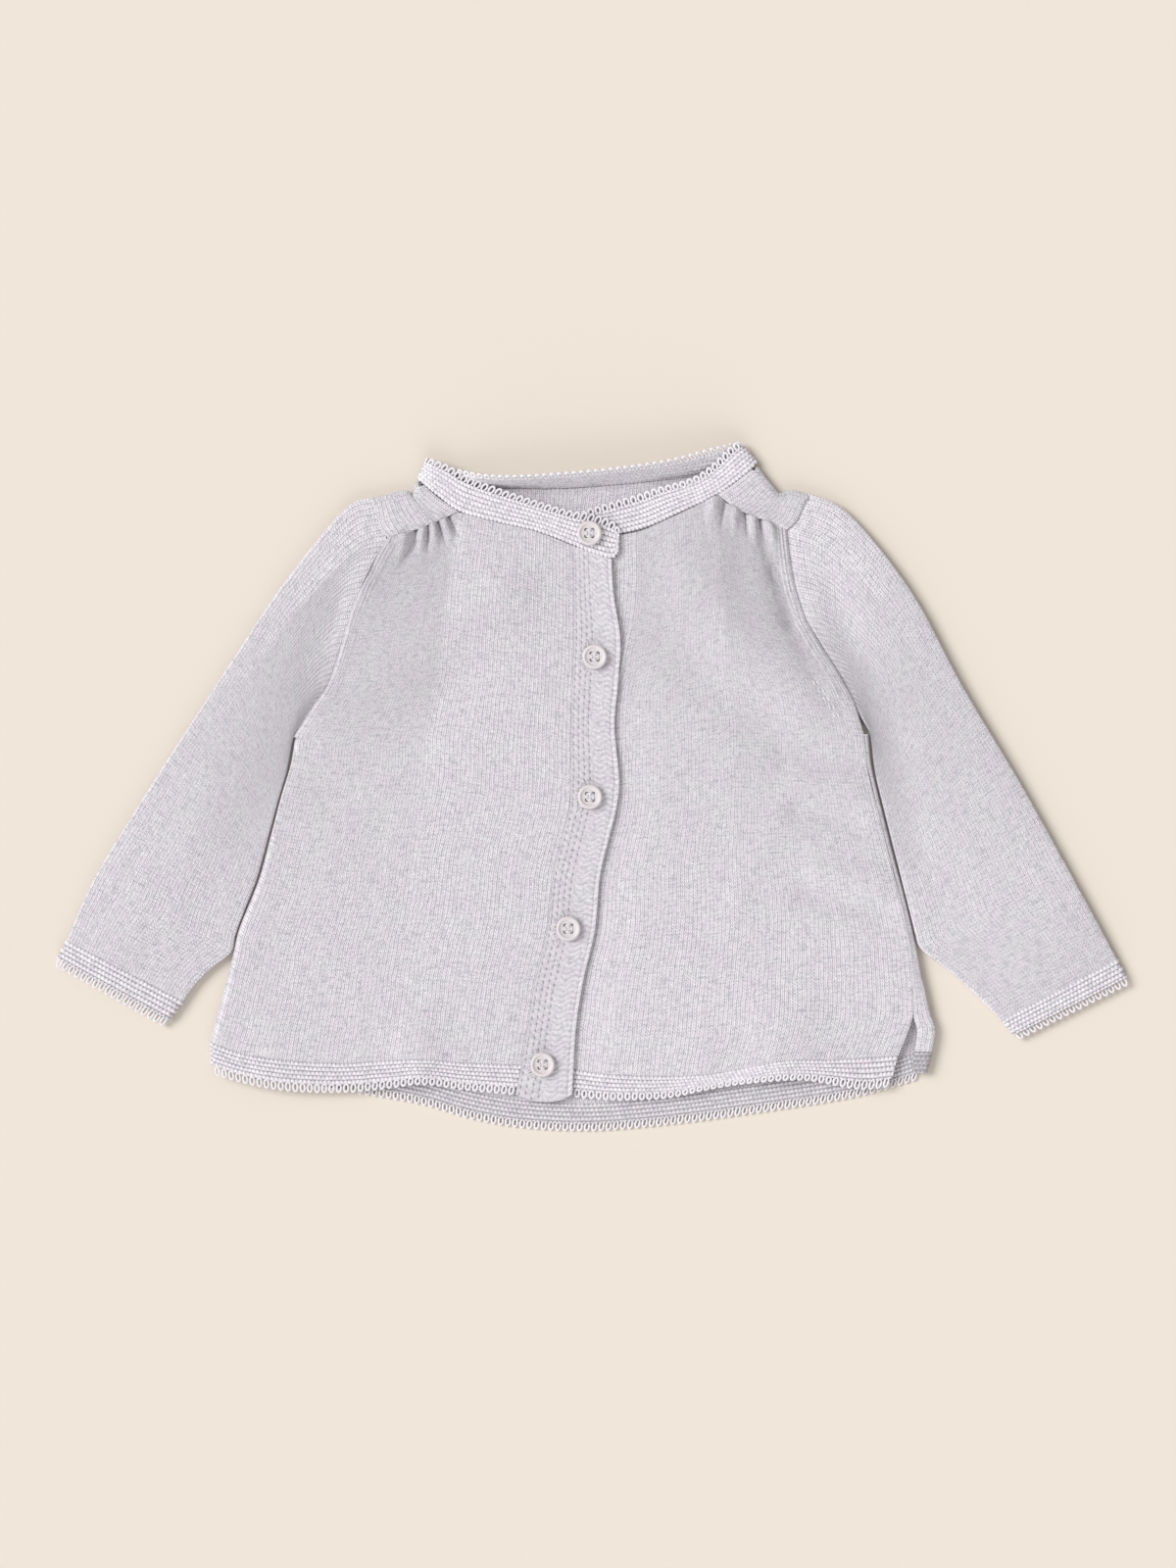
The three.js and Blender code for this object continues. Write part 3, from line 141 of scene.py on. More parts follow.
# The two edges of each placket, from its neck end to its hem end
PLACKET_OVER = {
    "y": [100, 88, 67, 47, 28, 1.6, -10, -25.7, -40, -65.7, -88.9, -110, -127.3, -141],
    "left": [-8.4, -8.3, -8.3, -9, -9.5, -9.7, -10.4, -14.2, -17.6, -20.5, -26, -29.4, -32.3, -35],
    "right": [9, 9.8, 12.9, 11.8, 10.2, 12.4, 11, 7.1, 3.7, 1.2, -4.1, -7.4, -8.5, -9.2],
}
PLACKET_UNDER = {
    "y": [100, 85, 70, 55, 40, 10, -10, -40, -65.7, -88.9, -110, -130, -140],
    "left": [-1, -1.5, -3, -6, -9, -11, -12, -18, -21, -26, -29.4, -31.5, -32],
    "right": [21, 20.3, 18.2, 15, 11, 9.6, 9, 2, -0.6, -6, -9, -10.4, -11],
}
PLACKET_NECK = {
    "over": {"left": (-8.6, 110.2), "right": (8.9, 104)},
    "under": {"left": (-1.5, 112.9), "right": (20.6, 116.6)},
}
PLACKET_FOOT = [(-25.7, -144.2), (-14.5, -143.6)]

BACK_HEM_HEIGHT = 12.0
BACK_HEM_TOP = [
    (-166.5, -116.8), (-140, -122.5), (-110.5, -127.7), (-78.5, -133.4), (-57.8, -139.4), (-37.2, -143.5),
    (-5, -145.5), (25.2, -143.7), (76.5, -137.1), (125.6, -128.9), (156.8, -121.5),
]
HEM = {
    "left": {
        "top": [
            (-175.8, -117), (-160, -122.5), (-140, -125.5), (-115, -126.8), (-95, -125.7),
            (-78.5, -124.9), (-57.8, -126.6), (-32.3, -127.3),
        ],
        "bottom": [
            (-175.2, -130.6), (-160, -135), (-140, -138.6), (-115, -139.4), (-95, -137.7),
            (-78.5, -135.6), (-57.8, -138.2), (-34.8, -140.3),
        ],
    },
    "right": {
        "top": [
            (-10.4, -129.8), (11, -132.2), (45.9, -132.6), (65.6, -130.1), (87.3, -125.7),
            (109.2, -125.3), (140, -123.4),
        ],
        "bottom": [
            (-11, -141.6), (11, -143.1), (35, -142.1), (52, -138.6), (71, -135.5),
            (96.1, -133.9), (124.4, -138.2), (136.6, -136.8),
        ],
    },
    "back": {
        "top": BACK_HEM_TOP,
        "bottom": [*[(x, y - BACK_HEM_HEIGHT) for x, y in BACK_HEM_TOP[:-1]], (153.5, -134)],
    },
}
SLEEVE = {
    "left": {
        "outer": [
            (-100.4, 132.2), (-109.6, 129.4), (-121.8, 117), (-143.9, 88.5), (-164.1, 58),
            (-185, 26.1), (-208, -10), (-228.4, -44), (-240.3, -70.8),
        ],
        "inner": [(-165.6, -75.2), (-173.6, -81.8), (-182.4, -90.4), (-187.9, -98.3)],
        "cuff_outer": (-246.1, -81.2),
        "cuff_inner": (-196, -109.4),
    },
    "right": {
        "outer": [
            (98.9, 133.9), (112.1, 128.7), (124.4, 117.2), (146.7, 87.5), (168.8, 46.6),
            (195.3, 2), (216.5, -36), (240.2, -79.4),
        ],
        "inner": [(150.6, -73.4), (166.8, -86.3), (181.4, -100), (188.2, -107)],
        "cuff_outer": (246, -90),
        "cuff_inner": (195.2, -115.6),
    },
}
ARM_STOPS = [8, -8, -24, -42, -58, -68]
SLEEVE_FLATNESS = 10

# The neckband, station by station from the end that carries the top button, round the left corner,
# along the back, round the right corner and down to the end that lies underneath
NECKBAND_SEAM = [
    (12, 108.6, 4.5), (9.8, 105.4, 4.5), (0.2, 107.4, 4.5), (-8.6, 111.2, 4.5), (-25, 117.5, 4.4),
    (-44, 121.9, 4.4), (-60.4, 126.6, 4.4), (-69.8, 133.2, 4.3), (-77, 139.2, 4.3), (-79, 141, 3.6),
    (-79.2, 141.4, 2.4), (-77.6, 138.8, 0.9), (-67, 137.2, 0.9), (-52, 137.3, 0.9), (-38.9, 137.3, 0.9),
    (-12.4, 137.5, 0.9), (12.9, 139.3, 0.9), (38.1, 141.9, 0.9), (60, 144.7, 0.9), (72.8, 146.8, 0.9),
    (75, 148.8, 2.4), (74.6, 148.4, 3.7), (72.6, 146, 4.3), (63.6, 138.8, 4.3), (56.4, 133.9, 4.2),
    (38.1, 125.3, 3.7), (25.5, 119.8, 2.5), (13.5, 116.8, 2.3), (-1.5, 114.4, 2.3), (-7, 113.4, 2.3),
]
NECKBAND_FREE = [
    (12.6, 117, 4.5), (10.4, 120.6, 4.5), (0.2, 124.7, 4.5), (-9.9, 126.2, 4.6), (-25, 130.6, 4.8),
    (-44, 136.9, 5.2), (-57.9, 142.4, 5.6), (-66.5, 147.2, 6), (-73, 149.5, 6), (-74.8, 150.3, 5),
    (-75, 150.2, 3.6), (-72.6, 148.6, 2.6), (-65.6, 146.4, 3.4), (-51, 142.6, 9.6), (-37.7, 141.6, 12.6),
    (-12.4, 143, 12.9), (12.9, 145.5, 12.7), (36, 149.2, 11.6), (56, 154.8, 8.6), (64.6, 157.1, 4.6),
    (67.2, 157.6, 4.4), (66.8, 157.3, 5.6), (64.4, 156.2, 6.4), (54.2, 146.4, 5.4), (46.4, 141.4, 4.8),
    (29, 136.4, 3.7), (20, 133.4, 2.7), (8.6, 130, 2.4), (-4, 126, 2.3), (-8.4, 123.6, 2.3),
]

BUTTONS = {
    "button_1": (-1.2, 115.9), "button_2": (1.2, 59.4), "button_3": (-0.9, -4.7),
    "button_4": (-10.8, -65), "button_5": (-22.6, -127.2),
}

# Folds: x0, y0, x1, y1, width and height of each soft ridge, or trough where its height is below 0
LEFT_FOLDS = [
    (-85.6, 117, -89, 104, 2.3, 1.3), (-80.2, 118, -81, 111.6, 1.5, -1.2), (-81, 111.6, -90, 98.9, 1.8, -1),
    (-77.6, 119, -79.5, 107, 1.7, 1.2), (-74.9, 120.4, -75.6, 108, 1.2, -1.2),
    (-73, 121, -71.6, 109, 1.5, 1.2),
    (-70.9, 122.2, -66.8, 110.5, 1.2, -1.3), (-68.4, 123.4, -64, 111, 1.6, 1.1),
    (-65.6, 123.4, -60.6, 114, 1.4, -0.9), (-96, 96, -70, 108, 7, -1.6), (-124, 34, -42, 86, 15, 3.6),
    (-118, -2, -60, 46, 13, -1.8), (-104, -28, -78, 15, 8, -0.6), (-79.5, -141, -80, -116, 10, 2),
    (-150, -140, -146, -112, 16, 1.2), (12, 97, 13, 72, 6, 0.6), (-171, -118, -150, -30, 10, 0.7),
]
RIGHT_FOLDS = [
    (55.6, 131, 53.4, 119, 2.2, 1), (60.6, 129, 58.6, 116, 1.5, -1.1), (65.4, 126.6, 64.6, 115, 2, 1.2),
    (70.2, 125, 71.2, 114, 1.4, -1.2), (73.6, 123.6, 74.6, 110, 1.7, 1.1),
    (76.7, 122.4, 78.6, 113, 1.3, -1.2),
    (78, 112, 84, 97, 3.2, -1.8), (84, 97, 91, 74, 4, -2), (91, 74, 104, 44, 4, -1.1),
    (73, 108, 80, 80, 7, 1.1), (81.2, 120.4, 84.4, 108, 1.8, 1.2), (48, 96, 98, 42, 15, 3),
    (28, 72, 92, 14, 11, -1.8), (88, 18, 104, 16, 6, -0.9), (94, -12, 118, -16, 5.5, -1.8),
    (98, -50, 134, -58, 5.5, -1.8), (98, 2, 120, -1, 7, 1.8), (104, -38, 130, -43, 7, 1.8),
    (92.7, 3.4, 61.2, -62, 6, 0.7), (84, -140, 88, -112, 17, 2.6), (50, -142, 52, -118, 9, 0.8),
]
SLEEVE_FOLDS = {
    "left": [
        (-120, 102, -212, -58, 26, 1.8), (-116, 88, -132, 44, 9, -1.4), (-142, 30, -157, -22, 9, -1.3),
        (-176, 6, -190, -60, 9, 0.6), (-205, -50, -222, -78, 8, 0.6),
    ],
    "right": [
        (132, 88, 214, -66, 25, 1.9), (108, 96, 116, 72, 8, -1.4), (116, 72, 136, 20, 9, -1.6),
        (138, 20, 148, -30, 9, -1.5), (168, -20, 196, -84, 10, 0.6),
    ],
}
# Folds narrower than this are gathers: they stand out more than in the solids and fade downwards
GATHER_WIDTH = 2.5
GATHER_GAIN = 2.2
GATHER_FADE = 0.9
# Raised wales beside the armhole seams: how far in from the seam, how wide and how high
ARMHOLE_WALES = [(1.2, 0.55, 0.45), (2.7, 0.55, 0.5), (4.2, 0.6, 0.4)]


# Curves and surfaces. Shares run from 0 to 1 and may be arrays; places are rows of x, y and z.

def in_space(point):
    """A place as x, y and z, at height 0 where it has none of its own."""
    return tuple(point) + (0.0,) * (3 - len(point))


def lengths_along(places):
    """How far along the places each of them is."""
    return np.concatenate([[0], np.cumsum(np.linalg.norm(np.diff(places, axis=0), axis=1))])


def places_at(where, length, places):
    return np.stack([np.interp(where, length, places[:, k]) for k in range(3)], axis=-1)


def smooth_line(points, steps=32):
    """A centripetal curve through the points, read at shares of its length."""
    knots = np.array([in_space(p) for p in points], float)
    ends = np.vstack([2 * knots[0] - knots[1], knots, 2 * knots[-1] - knots[-2]])
    t = np.linspace(0, 1, steps, endpoint=False)[:, None]
    pieces = []
    for p0, p1, p2, p3 in zip(ends, ends[1:], ends[2:], ends[3:]):
        spans = ((p0, p1), (p1, p2), (p2, p3))
        d0, d1, d2 = (math.sqrt(max(np.linalg.norm(b - a), 1e-6)) for a, b in spans)
        start = ((p1 - p0) / d0 - (p2 - p0) / (d0 + d1) + (p2 - p1) / d1) * d1
        stop = ((p2 - p1) / d1 - (p3 - p1) / (d1 + d2) + (p3 - p2) / d2) * d1
        bend = -3 * p1 + 3 * p2 - 2 * start - stop
        twist = 2 * p1 - 2 * p2 + start + stop
        pieces.append(p1 + start * t + bend * t**2 + twist * t**3)
    dense = np.vstack([*pieces, knots[-1:]])
    length = lengths_along(dense)
    at = lambda share: places_at(np.clip(share, 0, 1) * length[-1], length, dense)
    at.length = length[-1]
    return at


def straight(a, b):
    a, b = (np.array(in_space(p), float) for p in (a, b))
    line = lambda share: a + (b - a) * np.asarray(share, float)[..., None]
    line.length = float(np.linalg.norm(b - a))
    return line


def joined(first, second, share):
    """Two lines end to end, the first of which takes this share of the way."""

    def at(t):
        t = np.asarray(t, float)
        early = (t <= share)[..., None]
        return np.where(early, first(np.minimum(t / share, 1)), second((t - share) / (1 - share)))

    at.length = first.length + second.length
    return at


def reverse(line):
    turned = lambda t: line(1 - np.asarray(t, float))
    turned.length = line.length
    return turned


def part_of(line, start, stop):
    return lambda t: line(start + (stop - start) * np.asarray(t, float))


def patch(top, bottom, left, right, reach=lambda v: v):
    """A surface in plan stretched between four lines that meet at its corners."""
    zero, one = np.array(0.0), np.array(1.0)

    def at(s, v):
        s, v = np.broadcast_arrays(np.asarray(s, float), np.asarray(v, float))
        a, b, r = s[..., None], v[..., None], reach(v)[..., None]
        across = left(v) * (1 - a) + right(v) * a
        down = top(s) * (1 - r) + bottom(s) * r
        upper = top(zero) * (1 - a) + top(one) * a
        lower = bottom(zero) * (1 - a) + bottom(one) * a
        return across + down - upper * (1 - r) - lower * r

    return at


def table_at(table, y, column):
    order = np.argsort(table["y"])
    return np.interp(y, np.array(table["y"], float)[order], np.array(table[column], float)[order])


def row_table(points):
    return {"y": [p[1] for p in points], "x": [p[0] for p in points]}


def smoothstep(x, low, high):
    t = np.clip((x - low) / (high - low), 0, 1)
    return t * t * (3 - 2 * t)


def way_along(x, y, x0, y0, x1, y1):
    """The share of the way between two places that x and y have reached."""
    dx = x1 - x0
    dy = y1 - y0
    return np.clip(((x - x0) * dx + (y - y0) * dy) / (dx * dx + dy * dy), 0, 1)


def distance_to_line(x, y, x0, y0, x1, y1):
    share = way_along(x, y, x0, y0, x1, y1)
    return np.hypot(x - x0 - share * (x1 - x0), y - y0 - share * (y1 - y0))


def distance_to_path(x, y, points):
    pairs = zip(points, points[1:])
    return np.min([distance_to_line(x, y, *a[:2], *b[:2]) for a, b in pairs], axis=0)


def hump(away, width):
    """1 at no distance, and less the further away."""
    return np.exp(-((away / width) ** 2))


def fold_height(x, y, folds):
    height = np.zeros(np.shape(x))
    for x0, y0, x1, y1, width, rise in folds:
        ridge = rise * hump(distance_to_line(x, y, x0, y0, x1, y1), width)
        if width < GATHER_WIDTH:
            ridge = ridge * GATHER_GAIN * (1 - GATHER_FADE * way_along(x, y, x0, y0, x1, y1) ** 1.5)
        height += ridge
    return height


def armhole_wales(x, y, side):
    away = distance_to_path(x, y, ARMHOLE[side]["front"])
    return sum(rise * hump(away - inset, width) for inset, width, rise in ARMHOLE_WALES)


def seam_dip(away, depth, width=1.1):
    """Cloth rolls down into a seam that is this far away."""
    return -depth * hump(away, width)


def front_height(side, x, y):
    if side == "left":
        height = FRONT_Z + fold_height(x, y, LEFT_FOLDS) + armhole_wales(x, y, "left")
        return np.maximum(height, LOWEST_FRONT)
    edge = np.maximum(table_at(PLACKET_OVER, y, "right"), table_at(PLACKET_UNDER, y, "right"))
    share = smoothstep(x - edge - 1, 0, UNDERLAP_RAMP)
    lifted = fold_height(x, y, RIGHT_FOLDS) + armhole_wales(x, y, "right")
    return np.maximum(UNDER_Z + share * (FRONT_Z - UNDER_Z + lifted), LOWEST_FRONT)


def sleeve_height(side, x, y):
    return SLEEVE_Z + fold_height(x, y, SLEEVE_FOLDS[side])


def half_turn(upper_z, half_cloth, steps=TURN_STEPS, tuck=TUCK):
    """Half a turn from the lower layer up to the upper one: insets from the edge, and heights."""
    angle = np.pi * (np.linspace(0, 1, steps + 1) - 0.5)
    radius = (np.asarray(upper_z)[..., None] - BACK_Z) / 2
    inset = half_cloth + radius * (1 - np.cos(angle)) + tuck * (1 - np.sin(angle)) / 2
    return inset, BACK_Z + radius * (1 + np.sin(angle))


def under_reach(y):
    share = smoothstep(-y, -SIDE["left"][0][1], -FULL_REACH_Y)
    return UNDERARM_REACH + (UNDER_REACH - UNDERARM_REACH) * share


# The lines that the pieces share

armhole_front = {side: smooth_line(ARMHOLE[side]["front"]) for side in SIDE}
armhole_yoke = {side: smooth_line(ARMHOLE[side]["yoke"]) for side in SIDE}
side_line = {side: smooth_line(SIDE[side]) for side in SIDE}
yoke_seam = {side: smooth_line(YOKE_SEAM[side]) for side in SIDE}
shoulder_line = {side: smooth_line(SHOULDER[side]) for side in SIDE}
strip_edge = smooth_line(STRIP_EDGE)


def placket_line(table, kind, column):
    neck = PLACKET_NECK[kind][column]
    return smooth_line([neck, *zip(table[column], table["y"])])


over = {column: placket_line(PLACKET_OVER, "over", column) for column in ("left", "right")}
under = {column: placket_line(PLACKET_UNDER, "under", column) for column in ("left", "right")}

FRONT_PATCH = {
    "left": patch(
        top=joined(yoke_seam["left"], smooth_line(NECK_SEAM["left_front"]), YOKE_SHARE),
        bottom=smooth_line(HEM["left"]["top"]),
        left=joined(armhole_front["left"], side_line["left"], UNDERARM_SHARE),
        right=part_of(over["left"], 0, HEM_SHARE["over"]),
    ),
    "right": patch(
        top=joined(smooth_line(NECK_SEAM["right_front"]), yoke_seam["right"], 1 - YOKE_SHARE),
        bottom=smooth_line(HEM["right"]["top"]),
        left=part_of(under["right"], 0, HEM_SHARE["under"]),
        right=joined(armhole_front["right"], side_line["right"], UNDERARM_SHARE),
    ),
}


def right_fold(share):
    """The fold at the right, outside the edge of the back's forward strip."""
    edge = strip_edge(share)
    edge[..., 0] += table_at(STRIP_WIDTH, edge[..., 1], "width")
    return edge


def with_height(plan, z):
    return np.stack([plan[..., 0], plan[..., 1], np.broadcast_to(z, plan.shape[:-1])], axis=-1)


def uv_grid(u, v):
    return np.stack(np.broadcast_arrays(u, v), axis=-1)


# Mesh makers

LOOP_STEPS = 12
LOOP_SIDES = 6
HEM_LOOP_OPEN = 0.6  # a loop's width as a share of the pitch
NECK_LOOP_OPEN = 0.66
STRAND_SIDES = 5
# Garter ridges: how far they waver, how much they swell at each bump and their middle height, as shares
GARTER_WAVER = 0.13
GARTER_BUMP = 0.22
GARTER_MIDDLE = 0.35
TABLE_GAP = 0.02
PALE_KNIT = "cardigan_knit"
BAND_KNIT = "cardigan_band"
YARN = "cardigan_yarn"
PLASTIC = "cardigan_button"


def frame_shift():
    """From the outlines' millimetres to the frame: the CAD centres the whole garment."""
    low, high = (np.array(corner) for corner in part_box("button_3"))
    middle = (low + high) / 2
    x, y = BUTTONS["button_3"]
    return np.array([middle[0] - x * MM, middle[1] - y * MM, 0.0])


SHIFT = frame_shift()


def to_frame(points):
    return np.asarray(points, float) * MM + SHIFT


def link(name, bm, material):
    mesh = bpy.data.meshes.new(name)
    bm.to_mesh(mesh)
    bm.free()
    mesh.polygons.foreach_set("use_smooth", [True] * len(mesh.polygons))
    obj = bpy.data.objects.new(name, mesh)
    bpy.context.scene.collection.objects.link(obj)
    obj.data.materials.append(knit_material(material))
    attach(obj, BODY)
    return obj


def add_cloth(node, points, uv, material=PALE_KNIT, keep=None, closed=False, relief=1.0):
    """A wall of cloth about a grid of points in millimetres, with uv in millimetres of knitting.

    keep says which faces of the grid stay. relief is 0 in the hollows between stitches and 1 on top of
    them; the band material paints shade into the hollows by it.
    """
    rows, columns = points.shape[:2]
    bm = bmesh.new()
    bmesh.ops.create_grid(bm, x_segments=columns - 1, y_segments=rows - 1, size=1.0)
    bm.verts.ensure_lookup_table()
    bm.faces.ensure_lookup_table()
    for vert, place in zip(bm.verts, to_frame(points).reshape(-1, 3)):
        vert.co = place
    flat_uv = (uv * MM).reshape(-1, 2)
    tops = bm.verts.layers.float.new("relief")
    for vert, height in zip(bm.verts, np.broadcast_to(relief, points.shape[:2]).ravel()):
        vert[tops] = height
    layer = bm.loops.layers.uv.new("UVMap")
    for face in bm.faces:
        for loop in face.loops:
            loop[layer].uv = flat_uv[loop.vert.index]
    if keep is not None:
        spare = [face for face, stays in zip(bm.faces, keep.ravel()) if not stays]
        bmesh.ops.delete(bm, geom=spare, context="FACES")
    if closed:
        bmesh.ops.remove_doubles(bm, verts=bm.verts, dist=1e-7)
    bmesh.ops.recalc_face_normals(bm, faces=bm.faces)
    for edge in bm.edges:
        edge.smooth = not edge.is_boundary
    obj = link(f"{node}_knit", bm, material)
    wall = obj.modifiers.new("cloth", "SOLIDIFY")
    wall.thickness = bpy.context.scene.cardigan_cloth.thickness
    wall.offset = 0.0
    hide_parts(node)
    return obj


def grid_normals(points):
    down = np.gradient(points, axis=0)
    across = np.gradient(points, axis=1)
    normal = np.cross(across, down)
    return normal / np.maximum(np.linalg.norm(normal, axis=-1, keepdims=True), 1e-9)


def raised(points, height):
    """The points moved out along their normals, upwards where the cloth lies flat."""
    normal = grid_normals(points)
    normal = np.where(normal[..., 2:].mean() < 0, -normal, normal)
    return points + normal * np.asarray(height)[..., None]


def above_table(points):
    """Cloth presses flat on the table instead of reaching through it."""
    points[..., 2] = np.maximum(points[..., 2], half_cloth() + TABLE_GAP)
    return points


def garter(u, v):
    """Garter bumps, u along the band and v across it, in millimetres."""
    band = bpy.context.scene.cardigan_band
    ridge = band.ridge_pitch / MM
    course = np.floor(v / ridge)
    wave = np.cos(2 * np.pi * (u / (band.bump_pitch / MM) + 0.5 * (course % 2)))
    profile = 0.5 - 0.5 * np.cos(2 * np.pi * (v + GARTER_WAVER * ridge * wave) / ridge)
    height = profile**0.5 * (1 - GARTER_BUMP + GARTER_BUMP * wave)
    return band.ridge_rise / MM * (height - GARTER_MIDDLE), height


def add_ring(bm, place, a, b, radius, sides):
    """A ring of vertices about a place in millimetres, along the unit vectors a and b."""
    turns = [2 * math.pi * k / sides for k in range(sides)]
    places = [place + radius * (a * math.cos(t) + b * math.sin(t)) for t in turns]
    return [bm.verts.new(place * MM + SHIFT) for place in places]


def join_rings(bm, pairs):
    for here, there in pairs:
        for k in range(len(here)):
            other = (k + 1) % len(here)
            bm.faces.new((here[k], there[k], there[other], here[other]))


def add_picot(name, inner, outer, pitch, lift=0.0, open_share=HEM_LOOP_OPEN):
    """A row of yarn loops that stand between two lines, each read at shares of its length."""
    tube = bpy.context.scene.cardigan_picot.yarn / MM
    count = max(3, int(round(inner.length / (pitch / MM))))
    share = (np.arange(count) + 0.5) / count
    low = inner(share)
    high = outer(share)
    ahead = inner(np.clip(share + 0.5 / count, 0, 1)) - inner(np.clip(share - 0.5 / count, 0, 1))
    along = ahead * 0.5 * open_share
    out = (high - low) / 2
    up = np.cross(along, out)
    up /= np.maximum(np.linalg.norm(up, axis=1, keepdims=True), 1e-9)
    bm = bmesh.new()
    for centre, a, b, n in zip((low + high) / 2 + (0, 0, lift), out, along, up):
        rings = []
        for step in range(LOOP_STEPS):
            angle = 2 * math.pi * step / LOOP_STEPS
            spoke = a * math.cos(angle) + b * math.sin(angle)
            away = spoke / max(np.linalg.norm(spoke), 1e-9)
            rings.append(add_ring(bm, centre + spoke, away, n, tube, LOOP_SIDES))
        join_rings(bm, zip(rings, rings[1:] + rings[:1]))
    bmesh.ops.recalc_face_normals(bm, faces=bm.faces)
    return link(name, bm, YARN)


def add_strand(bm, path, radius):
    """A thin round strand along a path in millimetres, with capped ends."""
    path = np.asarray(path, float)
    ahead = np.gradient(path, axis=0)
    ahead /= np.maximum(np.linalg.norm(ahead, axis=1, keepdims=True), 1e-9)
    across = np.cross(ahead, (0, 0, 1.0))
    short = np.linalg.norm(across, axis=1) < 1e-3
    across[short] = (1.0, 0, 0)
    across /= np.linalg.norm(across, axis=1, keepdims=True)
    up = np.cross(across, ahead)
    rings = [add_ring(bm, place, a, b, radius, STRAND_SIDES) for place, a, b in zip(path, across, up)]
    join_rings(bm, zip(rings, rings[1:]))
    bm.faces.new(rings[0][::-1])
    bm.faces.new(rings[-1])


# Cloth pieces

FRONT_WIDTH = 120.0
FRONT_LENGTH = 235.0
FRONT_COLUMNS = 150
GATHERED = 1.12  # wales to the width of a front, more than lie there where it is not gathered
GATHER_SHARE = 0.14  # the top of a front, where its gathers need finer rows
GATHER_ROWS = 44
FRONT_ROWS = 150
BAND_STEP = 0.5
EDGE_TRIM = 0.05
HEM_RELIEF = 0.92  # painted shade: the hems' darkened hollows show wider than the neckband's
# Painted shade: the back hem, lying under the fronts' hems, gets still wider darkened hollows
BACK_HEM_RELIEF = 0.75
PICOT_SHARE = 0.24  # the last part of a band's height is its looped edge
# The shares of a band's height between which its loops stand
FRONT_LOOPS = (1 - PICOT_SHARE - 0.03, 1.03)
BACK_LOOPS = (1 - PICOT_SHARE - 0.04, 1.03)
CUFF_LOOPS = (1 - PICOT_SHARE - 0.04, 1.04)
# How deep the cloth rolls into its seams
TOP_DIP = 0.35
HEM_DIP = 0.25
ARMHOLE_DIP = 0.5
YOKE_SIDE_DIP = 0.3
YOKE_SEAM_DIP = 0.45
CUFF_DIP = 0.2


def half_cloth():
    return bpy.context.scene.cardigan_cloth.thickness / MM / 2


def shares(count):
    return np.linspace(0, 1, count + 1)


def trimmed(share, length):
    return EDGE_TRIM / length + share * (1 - 2 * EDGE_TRIM / length)


def trimmed_start(share, length):
    return EDGE_TRIM / length + share * (1 - EDGE_TRIM / length)


def wrap_under(edge):
    """The wrapped edge of the left front, from its seam underneath to the top of the fold."""
    inset, z = half_turn(front_height("left", edge[:, 0], edge[:, 1]), half_cloth())
    seam = (under_reach(edge[:, 1]) - EDGE_TRIM)[:, None]
    x = np.concatenate([seam, inset[:, :-1]], axis=1) + edge[:, :1]
    z = np.concatenate([np.full((len(edge), 1), BACK_Z), z[:, :-1]], axis=1)
    y = np.broadcast_to(edge[:, 1:2], x.shape)
    return np.stack([x, y, z], axis=-1)


def with_wrap(wrap, behind, points, uv):
    """A grid and its uv with the wrapped edge before it, whose uv lies this far behind."""
    wrap_uv = uv_grid(uv[:, :1, 0] - behind, uv[:, :1, 1])
    return np.concatenate([wrap, points], axis=1), np.concatenate([wrap_uv, uv], axis=1)


def across_from_fold(edge, s, width, seamed=False):
    """Shares across a left piece, from the top of its fold or from its seam where it is seamed."""
    fold = half_turn(front_height("left", edge[:, 0], edge[:, 1]), half_cloth(), tuck=0)[0][:, 0]
    start = np.where(seamed, EDGE_TRIM, fold)[:, None] / width
    return start + s * (1 - EDGE_TRIM / width - start)


def front_dips(side, s, v):
    """How far the cloth rolls down into the seams round a front."""
    armhole = s if side == "left" else 1 - s
    below_underarm = (v > UNDERARM_SHARE) * FRONT_WIDTH
    dip = seam_dip(v * FRONT_LENGTH, TOP_DIP) + seam_dip((1 - v) * FRONT_LENGTH, HEM_DIP)
    return dip + seam_dip(armhole * FRONT_WIDTH + below_underarm, ARMHOLE_DIP)


def front_rows():
    below = np.linspace(GATHER_SHARE, 1, FRONT_ROWS)[1:]
    return np.concatenate([GATHER_SHARE * shares(GATHER_ROWS), below])


def build_front(side, node):
    v = front_rows()[:, None]
    s = shares(FRONT_COLUMNS)[None, :]
    row = trimmed(v, FRONT_LENGTH)
    seamed = v[:, 0] < UNDERARM_SHARE
    edge = FRONT_PATCH[side](0.0, row[:, 0])
    if side == "left":
        across = across_from_fold(edge, s, FRONT_WIDTH, seamed)
    else:
        across = trimmed(s, FRONT_WIDTH)
    plan = FRONT_PATCH[side](across, row)
    z = front_height(side, plan[..., 0], plan[..., 1]) + front_dips(side, across, row)
    points = with_height(plan, z)
    uv = uv_grid(across * FRONT_WIDTH * GATHERED, row * FRONT_LENGTH)
    keep = None
    if side == "left":
        wrap = wrap_under(edge)
        steps = np.linalg.norm(np.diff(wrap[:, ::-1], axis=1), axis=-1)
        behind = np.cumsum(steps, axis=1)[:, ::-1]
        behind = np.concatenate([behind, np.zeros((len(edge), 1))], axis=1)
        points, uv = with_wrap(wrap, behind, points, uv)
        keep = np.ones((len(v) - 1, points.shape[1] - 1), bool)
        keep[seamed[:-1], : wrap.shape[1]] = False
    return add_cloth(node, points, uv, keep=keep)


def band_rows():
    return shares(28) * (1 - PICOT_SHARE)


